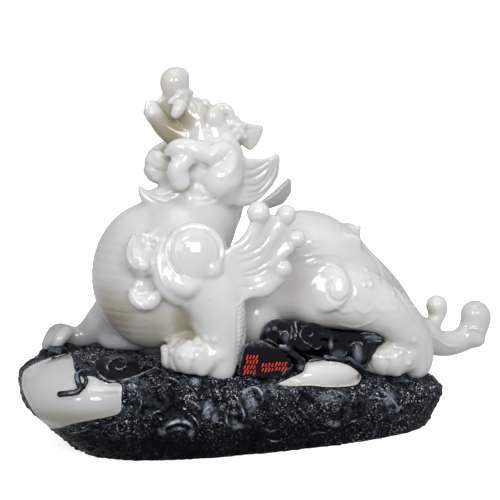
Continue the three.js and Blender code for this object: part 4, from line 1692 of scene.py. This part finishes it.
    def build(self) -> bpy.types.Mesh:
        """Kneads the rock, carves it and gives it its chipped face.

        Returns:
            The skin in millimetres.
        """
        clay = Clay()
        self.block(clay)
        clay.mass(self.pebble, self.pebble_radii, fineness=5)
        self.polished(clay)
        mesh = clay.knead(self.voxel, rounds=2)
        smooth = Clay()
        self.polished(smooth)
        tree = BVHTree.FromBMesh(smooth.heap)
        smooth.heap.free()
        skin = Skin(mesh)
        self.carve(skin)
        # painted highlight: the crests of the raised lines are kept to be painted lighter
        painted_shine = skin.cut ** 2
        self.tail_band(skin)
        rough = np.clip(1.1 - 1.2 * skin.cut, 0, 1) * np.clip(1.1 - 0.8 * self.knobs, 0, 1)
        for i, point in enumerate(skin.points):
            _, _, _, gap = tree.find_nearest(Vector(point), 4.0)
            if gap is not None:
                rough[i] = min(rough[i], gap / 3.0)
        self.cut_strokes(skin)
        tail = np.maximum(self.along(skin, self.tail, self.tail_half), self.along(skin, self.hook, 2.0))
        black = np.maximum(tail, self.scroll_share(skin))
        core = np.maximum(self.inside(skin, self.window), self.inside(skin, self.pool))
        core = np.minimum(core, -black)
        rough *= np.clip(-core / 2.0, 0, 1) * np.clip(1 - black, 0, 1)
        self.chip(skin, rough)
        skin.sunk += np.clip(core / 1.5, 0, 1) * 0.9
        mesh = skin.finish()
        keep(mesh, "core", core)
        keep(mesh, "rough", rough)
        keep(mesh, "painted_shine", painted_shine)
        return mesh

    def carve(self, skin: Skin) -> None:
        """Raises the swirls, the scroll and its tail, and the lines of the clouds."""
        for broad in (True, False):
            for across, down, radius, height in self.bosses:
                if (radius > 5.6) == broad:
                    skin.boss((across, down), radius, height)
            self.knobs = skin.cut * (not broad)
            skin.cut[:] = 0
        for number, (line, half, height) in enumerate(self.relief):
            sides = BOTH if number < self.both_sides else NEAR_ONLY
            skin.draw(line, half=half, depth=-height, sides=sides, ends=0.5)
        skin.draw_all(self.cloud_lines, half=1.5, depth=-1.2, ends=0.2)
        skin.draw_all(self.scroll_lines, half=1.9, depth=-1.6, ends=0.15)
        skin.draw(self.tail_edge, half=1.3, depth=-0.6)

    def tail_band(self, skin: Skin) -> None:
        """Raises the scroll's tail over the white window and cuts the window's ledge."""
        skin.draw(self.tail, half=self.tail_half, depth=-2.0, ends=0.2)
        skin.draw(self.hook, half=2.4, depth=-1.4)
        skin.draw(self.ledge, half=2.6, depth=1.3, ends=0.05)

    def cut_strokes(self, skin: Skin) -> None:
        """Cuts rows of shallow slanted strokes in the facet and keeps their places."""
        length, gap, radius = self.stroke
        for number, (across, down) in enumerate(self.groups):
            for row in (-1, 1):
                for i in range(4):
                    lean = 0.35 + 0.1 * (number % 2)
                    half = length * (0.44 + 0.07 * ((i * 2 + number + row) % 3 - 1))
                    middle, level = across + (i - 1.5) * gap, down + row * length * 0.62
                    line = [(middle - lean * t * half, level + t * half) for t in (-1, 0, 1)]
                    places = skin.trace(line, gap=0.5)
                    skin.carve(places, half=radius * 2.0, depth=0.6, ends=0.1)
                    self.strokes.append([place - normal * 0.3 for place, normal in places])

    def along(self, skin: Skin, line: Line, half: float) -> np.ndarray:
        """Distance of each vertex inside a band along a line of the sheet, below 0 outside it.

        Args:
            skin: The rock's skin.
            line: Points of the sheet.
            half: Half of the band's width, on the sheet.

        Returns:
            Distances in units of the sheet, where the vertex faces the viewer.
        """
        gap = gap_to(VIEW.sheet_of(skin.points), flowing(np.array(line, float), 3.0))
        return np.where(self.facing(skin), half - gap, self.unseen)

    def facing(self, skin: Skin) -> np.ndarray:
        """Which vertices face the viewer on the near side."""
        return ((skin.normals @ np.array(VIEW.back)) > 0.02) & (skin.points[:, 1] < 40)

    def scroll_share(self, skin: Skin) -> np.ndarray:
        """How far each vertex lies inside the scroll's oval, in units of the sheet."""
        across, down, wide, high = self.scroll
        spots = VIEW.sheet_of(skin.points) - (across, down)
        inside = (1 - np.hypot(spots[:, 0] / wide, spots[:, 1] / high)) * high
        return np.where(self.facing(skin), inside, self.unseen)

    def inside(self, skin: Skin, area: Line) -> np.ndarray:
        """Distance of each vertex inside a traced area, below 0 outside it.

        Args:
            skin: The rock's skin.
            area: Corners of the area on the sheet.

        Returns:
            Distances in units of the sheet, where the vertex faces the viewer.
        """
        spots = VIEW.sheet_of(skin.points)
        corners = flowing(np.array([*area, area[0]], float), 4.0)
        gap = gap_to(spots, corners)
        within = np.zeros(len(spots), bool)
        for a, b in pairwise(corners):
            if b[1] != a[1]:
                crosses = (a[1] > spots[:, 1]) != (b[1] > spots[:, 1])
                at = a[0] + (spots[:, 1] - a[1]) * (b[0] - a[0]) / (b[1] - a[1])
                within ^= crosses & (spots[:, 0] < at)
        return np.where(self.facing(skin), np.where(within, gap, -gap), self.unseen)

    def chip(self, skin: Skin, rough: np.ndarray) -> None:
        """Breaks the rough faces into chips.

        Args:
            skin: The rock's skin.
            rough: How rough each vertex may be, from 0 to 1.
        """
        for i, point in enumerate(skin.points):
            if rough[i] <= 0.01:
                continue
            place = Vector(point)
            cells = noise.voronoi(place / 8.0)[0]
            chips = (cells[1] - cells[0]) * 2.0 - 0.6
            grain = noise.noise(place / 3.1) * 0.7 + noise.noise(place / 1.7) * 0.4
            wave = noise.noise(place / 26.0) * 1.6
            skin.raised[i] += rough[i] * (chips + grain + wave)

    def dress(self, finish: BlackSkin) -> bpy.types.Object:
        """Builds the piece and gives it its finish.

        Args:
            finish: The black skin with its white core.

        Returns:
            The piece.
        """
        mesh = thinned(self.build())
        points = coordinates(mesh)
        points[:, 2] = np.where(points[:, 2] < self.sole, 0.0, points[:, 2])
        mesh.vertices.foreach_set("co", points.ravel())
        note_hollows(mesh, rounds=8, reach=1.0)
        across, down = VIEW.sheet_of(points).T
        window = across < self.window_end
        start, fade = self.window_shade
        # painted shade: the white window grows darker towards its bottom
        keep(mesh, "painted_shade", window * np.clip((down - start) / fade, 0, 1))
        keep(mesh, "tint_and_shade", np.zeros(len(points)))
        # painted shade greys the window, and painted light keeps the ledge band lighter
        left, upper, lower = self.ledge_light
        lit = (down > upper) & (down < lower) & (across > left)
        keep(mesh, "grey_shade", window * (0.5 - 0.3 * lit))
        # painted highlights: soft pale spots where the glossy forms catch the light
        painted_highlight = np.zeros(len(points))
        for middle, level, wide, high, strength in self.highlight_spots:
            gap = np.hypot((across - middle) / wide, (down - level) / high)
            painted_highlight = np.maximum(painted_highlight, strength * np.clip(1 - gap ** 2, 0, 1) ** 1.5)
        keep(mesh, "painted_highlight", painted_highlight * (points[:, 1] < 5))
        return piece(mesh, "rock_skin", "rock_base", finish)

    def inscribe(self, finish: RedPaint) -> bpy.types.Object:
        """Lays paint in the strokes that were cut.

        Args:
            finish: The paint.

        Returns:
            The piece.
        """
        clay = Clay()
        for places in self.strokes:
            clay.limb([(place, self.stroke[2]) for place in places[::3]], gap=1.0)
        mesh = bpy.data.meshes.new("strokes")
        clay.heap.to_mesh(mesh)
        clay.heap.free()
        return piece(mesh, "inscription_strokes", None, finish)


class Wire:
    """A shader socket that takes part in sums."""

    def __init__(self, recipe: Recipe, socket: bpy.types.NodeSocket) -> None:
        """Wraps a socket of a recipe."""
        self.recipe = recipe
        self.socket = socket

    def _math(self, operation: str, first: object, second: object) -> Wire:
        """A Math node on two values."""
        return self.recipe.value("ShaderNodeMath", {"operation": operation}, {0: first, 1: second})

    def __add__(self, other: object) -> Wire:
        """Sum."""
        return self._math("ADD", self, other)

    def __sub__(self, other: object) -> Wire:
        """Difference."""
        return self._math("SUBTRACT", self, other)

    def __rsub__(self, other: object) -> Wire:
        """Difference from a number."""
        return self._math("SUBTRACT", other, self)

    def __mul__(self, other: object) -> Wire:
        """Product."""
        return self._math("MULTIPLY", self, other)

    __radd__ = __add__
    __rmul__ = __mul__

    def between(self, low: float, high: float) -> Wire:
        """Share from 0 at the low value to 1 at the high one."""
        return self.recipe.value(
            "ShaderNodeMapRange", {"interpolation_type": "SMOOTHSTEP"},
            {0: self, 1: low, 2: high, 3: 0.0, 4: 1.0},
        )


class Recipe:
    """A material's nodes while they are set out."""

    def __init__(self, name: str) -> None:
        """Starts a material."""
        self.material = bpy.data.materials.new(name)
        self.material.use_nodes = True
        self.tree = self.material.node_tree
        self.tree.nodes.clear()

    def node(self, kind: str, settings: dict | None = None, inputs: dict | None = None) -> bpy.types.Node:
        """Adds a node.

        Args:
            kind: The node's type.
            settings: Its settings.
            inputs: Values or wires of its sockets, by name or number.

        Returns:
            The node.
        """
        made = self.tree.nodes.new(kind)
        for key, value in (settings or {}).items():
            setattr(made, key, value)
        for key, value in (inputs or {}).items():
            if isinstance(value, Wire):
                self.tree.links.new(value.socket, made.inputs[key])
            else:
                made.inputs[key].default_value = value
        return made

    def value(
        self,
        kind: str,
        settings: dict | None = None,
        inputs: dict | None = None,
        out: int | str = 0,
    ) -> Wire:
        """Adds a node and gives one of its outputs.

        Args:
            kind: The node's type.
            settings: Its settings.
            inputs: Values or wires of its sockets.
            out: The output, by name or number.

        Returns:
            The output's wire.
        """
        return Wire(self, self.node(kind, settings, inputs).outputs[out])

    def place(self) -> Wire:
        """Object coordinates."""
        return self.value("ShaderNodeTexCoord", out="Object")

    def kept(self, name: str) -> Wire:
        """A number that is kept on the vertices."""
        return self.value("ShaderNodeAttribute", {"attribute_name": name}, out="Fac")

    def grain(self, scale: float, detail: float = 3.0, rough: float = 0.5) -> Wire:
        """Noise in object coordinates, from 0 to 1."""
        return self.value(
            "ShaderNodeTexNoise", None,
            {"Vector": self.place(), "Scale": scale, "Detail": detail, "Roughness": rough},
        )

    def blend(self, share: Wire, first: object, second: object) -> Wire:
        """Mix of two colours."""
        return self.value(
            "ShaderNodeMix", {"data_type": "RGBA"}, {"Factor": share, 6: first, 7: second}, out=2
        )

    def output(self, shader: Wire) -> bpy.types.Material:
        """Ends the recipe with a surface shader."""
        self.node("ShaderNodeOutputMaterial", None, {"Surface": shader})
        return self.material


def tone(red: int, green: int, blue: int) -> tuple[float, float, float, float]:
    """A colour from display values of 0 to 255."""
    def linear(value: int) -> float:
        """The light that a display value gives."""
        share = value / 255
        return share / 12.92 if share <= 0.04045 else ((share + 0.055) / 1.055) ** 2.4
    return linear(red), linear(green), linear(blue), 1.0


@dataclass(frozen=True)
class Resin:
    """Milky resin that looks like white jade, polished."""

    body: tuple = tone(226, 226, 228)
    cloud: tuple = tone(216, 216, 214)
    # painted shade: a darker olive tone laid where shade falls in hollows
    hollow: tuple = tone(186, 182, 158)
    # painted shade: a warm dark tone where the piece covers itself from the light
    shade_tone: tuple = tone(172, 165, 136)
    # warm tint of the resin together with painted shade, laid by spots
    warm_tint_and_shade: tuple = tone(158, 148, 116)
    # painted shade: a grey laid on parts that lie in shade
    shade_grey: tuple = tone(152, 152, 153)
    polish: float = 0.09
    depth: float = 0.007

    def shader(self, recipe: Recipe) -> Wire:
        """Sets out the resin.

        Args:
            recipe: The material's nodes.

        Returns:
            The surface.
        """
        colour = recipe.blend(recipe.grain(22, 2).between(0.35, 0.7), self.body, self.cloud)
        # painted shade where the piece covers itself
        colour = recipe.blend(recipe.kept("painted_shade").between(0.12, 0.75) * 0.85, colour, self.shade_tone)
        # painted shade laid into the hollows
        colour = recipe.blend(recipe.kept("hollow").between(0.1, 0.9) * 0.6, colour, self.hollow)
        # warm tint and painted shade
        colour = recipe.blend(recipe.kept("tint_and_shade").between(0.0, 0.9) * 0.9, colour, self.warm_tint_and_shade)
        # painted shade greys the parts that lie in shade
        colour = recipe.blend(recipe.kept("grey_shade"), colour, self.shade_grey)
        relief = recipe.value("ShaderNodeBump", None, {
            "Strength": 0.06, "Distance": 0.0004, "Height": recipe.grain(420, 2),
        }, out="Normal")
        return recipe.value("ShaderNodeBsdfPrincipled", None, {
            "Base Color": colour,
            "Roughness": recipe.grain(60, 2) * 0.05 + self.polish,
            "Normal": relief,
            "IOR": 1.54,
            "Subsurface Weight": 0.6,
            "Subsurface Radius": (1.0, 0.96, 0.86),
            "Subsurface Scale": self.depth,
            "Coat Weight": 0.5,
            "Coat Roughness": 0.04,
        })

    def material(self) -> bpy.types.Material:
        """The finished material."""
        recipe = Recipe("jade_resin")
        return recipe.output(self.shader(recipe))


@dataclass(frozen=True)
class BlackSkin:
    """Black lacquered stone skin over a white core that shows where it is cut away."""

    black: tuple = tone(4, 5, 7)
    # painted glints: the blue-white colour of small bright points of light
    speck_glint: tuple = tone(232, 242, 254)
    polished: tuple = tone(5, 7, 11)
    # painted highlight: the pale blue-grey of light caught on crests and in spots
    painted_highlight: tuple = tone(168, 182, 202)
    # painted sheen: a soft blue-grey of light in broad patches
    haze_sheen: tuple = tone(84, 94, 110)
    core: Resin = Resin()

    def rough_face(self, recipe: Recipe, rough: Wire) -> Wire:
        """The chipped black face, with small bright glints painted on it.

        Args:
            recipe: The material's nodes.
            rough: How rough the face is.

        Returns:
            The surface.
        """
        level = recipe.value("ShaderNodeSeparateXYZ", None, {0: recipe.place()}, out="Z")
        stern = recipe.value("ShaderNodeSeparateXYZ", None, {0: recipe.place()}, out="X")
        # painted glints and sheen grow towards the top and towards the tail end
        glint_zone = level.between(0.012, 0.05) * 0.8 + stern.between(0.02, 0.1) * 0.4 + 0.06
        patches = recipe.grain(52, 3).between(0.34, 0.6)
        # painted glints: fine bright points on the crests of the chips
        speck_glints = recipe.grain(640, 2, 0.6).between(0.55, 0.64)
        crest = (0 - recipe.kept("hollow")).between(-0.5, 0.6)
        # painted sheen in broad patches
        sheen_patches = recipe.grain(150, 4, 0.65).between(0.42, 0.7) * glint_zone
        colour = recipe.blend(sheen_patches * 0.4, self.black, self.haze_sheen)
        colour = recipe.blend(speck_glints * patches * glint_zone * crest, colour, self.speck_glint)
        patchy = recipe.grain(190, 4, 0.6).between(0.4, 0.6)
        # painted highlights in soft spots
        colour = recipe.blend(recipe.kept("painted_highlight") * patchy * 0.75, colour, self.painted_highlight)
        # painted highlight along the crests of the raised lines
        painted_shine = recipe.kept("painted_shine").between(0.15, 1.0) * recipe.grain(240, 3).between(0.35, 0.6)
        colour = recipe.blend(painted_shine, colour, self.painted_highlight)
        chips = recipe.value("ShaderNodeTexVoronoi", {"feature": "F1"}, {
            "Vector": recipe.place(), "Scale": 520.0,
        }, out="Distance")
        height = chips * rough * 0.8 + recipe.grain(760, 3) * rough * 0.5
        relief = recipe.value("ShaderNodeBump", None, {
            "Strength": 0.9, "Distance": 0.0009, "Height": height,
        }, out="Normal")
        return recipe.value("ShaderNodeBsdfPrincipled", None, {
            "Base Color": colour,
            "Roughness": recipe.grain(150, 3) * 0.18 + 0.14,
            "Normal": relief,
            "IOR": 1.45,
            "Specular IOR Level": 0.06,
            "Specular Tint": (0.8, 0.9, 1.0, 1.0),
        })

    def polished_face(self, recipe: Recipe) -> Wire:
        """The polished black face, with painted highlights on its crests and in spots."""
        # painted highlight on crests and raised lines, together with the spots of highlight
        crest = (0 - recipe.kept("hollow")).between(0.4, 1.1) * 0.6
        crest = crest + recipe.kept("painted_shine").between(0.35, 1.0) * 0.8
        painted_shine = crest * recipe.grain(180, 3).between(0.3, 0.6)
        painted_shine = recipe.kept("painted_highlight") * (recipe.grain(160, 3) * 0.5 + 0.25) + painted_shine
        relief = recipe.value("ShaderNodeBump", None, {
            "Strength": 0.2, "Distance": 0.0006, "Height": recipe.grain(240, 3),
        }, out="Normal")
        return recipe.value("ShaderNodeBsdfPrincipled", None, {
            "Base Color": recipe.blend(painted_shine, self.polished, self.painted_highlight),
            "Roughness": recipe.grain(120, 2) * 0.08 + 0.1,
            "Normal": relief,
            "IOR": 1.5,
            "Specular IOR Level": 0.24,
            "Specular Tint": (0.85, 0.92, 1.0, 1.0),
        })

    def material(self) -> bpy.types.Material:
        """The finished material."""
        recipe = Recipe("black_rock")
        rough = recipe.kept("rough")
        skin = recipe.value("ShaderNodeMixShader", None, {
            0: rough.between(0.2, 0.7), 1: self.polished_face(recipe), 2: self.rough_face(recipe, rough),
        })
        share = recipe.kept("core").between(-0.2, 0.4)
        mix = recipe.value("ShaderNodeMixShader", None, {0: share, 1: skin, 2: self.core.shader(recipe)})
        return recipe.output(mix)


@dataclass(frozen=True)
class RedPaint:
    """Red paint in the cut strokes."""

    red: tuple = tone(226, 62, 44)
    deep: tuple = tone(196, 40, 32)

    def material(self) -> bpy.types.Material:
        """The finished material."""
        recipe = Recipe("red_paint")
        return recipe.output(recipe.value("ShaderNodeBsdfPrincipled", None, {
            "Base Color": recipe.blend(recipe.grain(300, 2).between(0.35, 0.65), self.red, self.deep),
            "Roughness": recipe.grain(200, 2) * 0.2 + 0.35,
        }))


@dataclass(frozen=True)
class Studio:
    """The pale floor, the soft lights and the camera."""

    low: float = 0.49
    high: float = 0.51
    lamps: tuple[tuple, ...] = (
        ("top_box", -10, 75, 1.4, 1.3, 4.6),
        ("left_box", -42, 25, 1.9, 0.66, 9.8),
        ("right_box", -2, 25, 1.9, 0.66, 9.8),
    )
    aim: Row = (0, 0, 0.15)
    floor: float = 16.0

    def lamp(
        self,
        name: str,
        azimuth: float,
        elevation: float,
        distance: float,
        size: float,
        power: float,
    ) -> None:
        """Adds a square soft light that looks at the figure.

        Args:
            name: The light's name.
            azimuth: Its direction round the figure, in degrees.
            elevation: Its direction above the floor, in degrees.
            distance: Its distance in metres.
            size: Its side in metres.
            power: Its power in watts.
        """
        light = bpy.data.lights.new(name, "AREA")
        light.shape = "SQUARE"
        light.size = size
        light.energy = power
        body = bpy.data.objects.new(name, light)
        away = toward(math.radians(azimuth), math.radians(elevation))
        station = Vector(self.aim) + away * distance
        body.matrix_world = Matrix.LocRotScale(station, away.to_track_quat("Z", "Y"), None)
        bpy.context.scene.collection.objects.link(body)

    def sky(self) -> None:
        """Lights the room evenly from all round, less from below."""
        world = bpy.data.worlds.new("studio")
        world.use_nodes = True
        nodes, links = world.node_tree.nodes, world.node_tree.links
        height = nodes.new("ShaderNodeSeparateXYZ")
        links.new(nodes.new("ShaderNodeTexCoord").outputs["Generated"], height.inputs[0])
        share = nodes.new("ShaderNodeMapRange")
        for key, value in ((1, -0.6), (2, 0.8), (3, self.low), (4, self.high)):
            share.inputs[key].default_value = value
        links.new(height.outputs["Z"], share.inputs[0])
        links.new(share.outputs[0], nodes["Background"].inputs[1])
        nodes["Background"].inputs[0].default_value = (1, 1, 1, 1)
        bpy.context.scene.world = world

    def build(self) -> None:
        """Sets up the floor, the lights, the world and the camera."""
        form = bmesh.new()
        bmesh.ops.create_grid(form, x_segments=1, y_segments=1, size=self.floor)
        mesh = bpy.data.meshes.new("floor")
        form.to_mesh(mesh)
        form.free()
        floor = bpy.data.objects.new("floor", mesh)
        bpy.context.scene.collection.objects.link(floor)
        recipe = Recipe("floor_paint")
        mesh.materials.append(recipe.output(recipe.value("ShaderNodeBsdfPrincipled", None, {
            "Base Color": recipe.blend(recipe.grain(3, 2), tone(245, 245, 245), tone(240, 240, 241)),
            "Roughness": 0.9,
            "Specular IOR Level": 0.1,
            "Emission Color": tone(250, 250, 252),
            "Emission Strength": 0.75,
        })))
        floor.visible_diffuse = False
        floor.visible_glossy = False
        floor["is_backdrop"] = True
        for lamp in self.lamps:
            self.lamp(*lamp)
        self.sky()
        lens = bpy.data.cameras.new("camera")
        lens.lens, lens.sensor_width = VIEW.lens, VIEW.sensor
        lens.clip_start, lens.clip_end = 0.05, 60
        camera = bpy.data.objects.new("camera", lens)
        turn = Matrix((VIEW.right, VIEW.up, VIEW.back)).transposed()
        camera.matrix_world = Matrix.LocRotScale(VIEW.station * MM, turn, None)
        bpy.context.scene.collection.objects.link(camera)
        bpy.context.scene.camera = camera
        bpy.context.scene.view_settings.view_transform = "Standard"


def main() -> None:
    """Builds every piece in order and reports it."""
    logging.basicConfig(level=logging.INFO, format="%(name)s %(message)s")
    Studio().build()
    resin = Resin()
    Animal().dress(resin)
    rock = Rock()
    rock.dress(BlackSkin(core=resin))
    rock.inscribe(RedPaint())
    sizes = {"cad": CAD_BOX, "looks": [list(corner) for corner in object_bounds()]}
    for name, corners in sizes.items():
        log.info("%s box %s", name, corners)


if __name__ == "__main__":
    main()
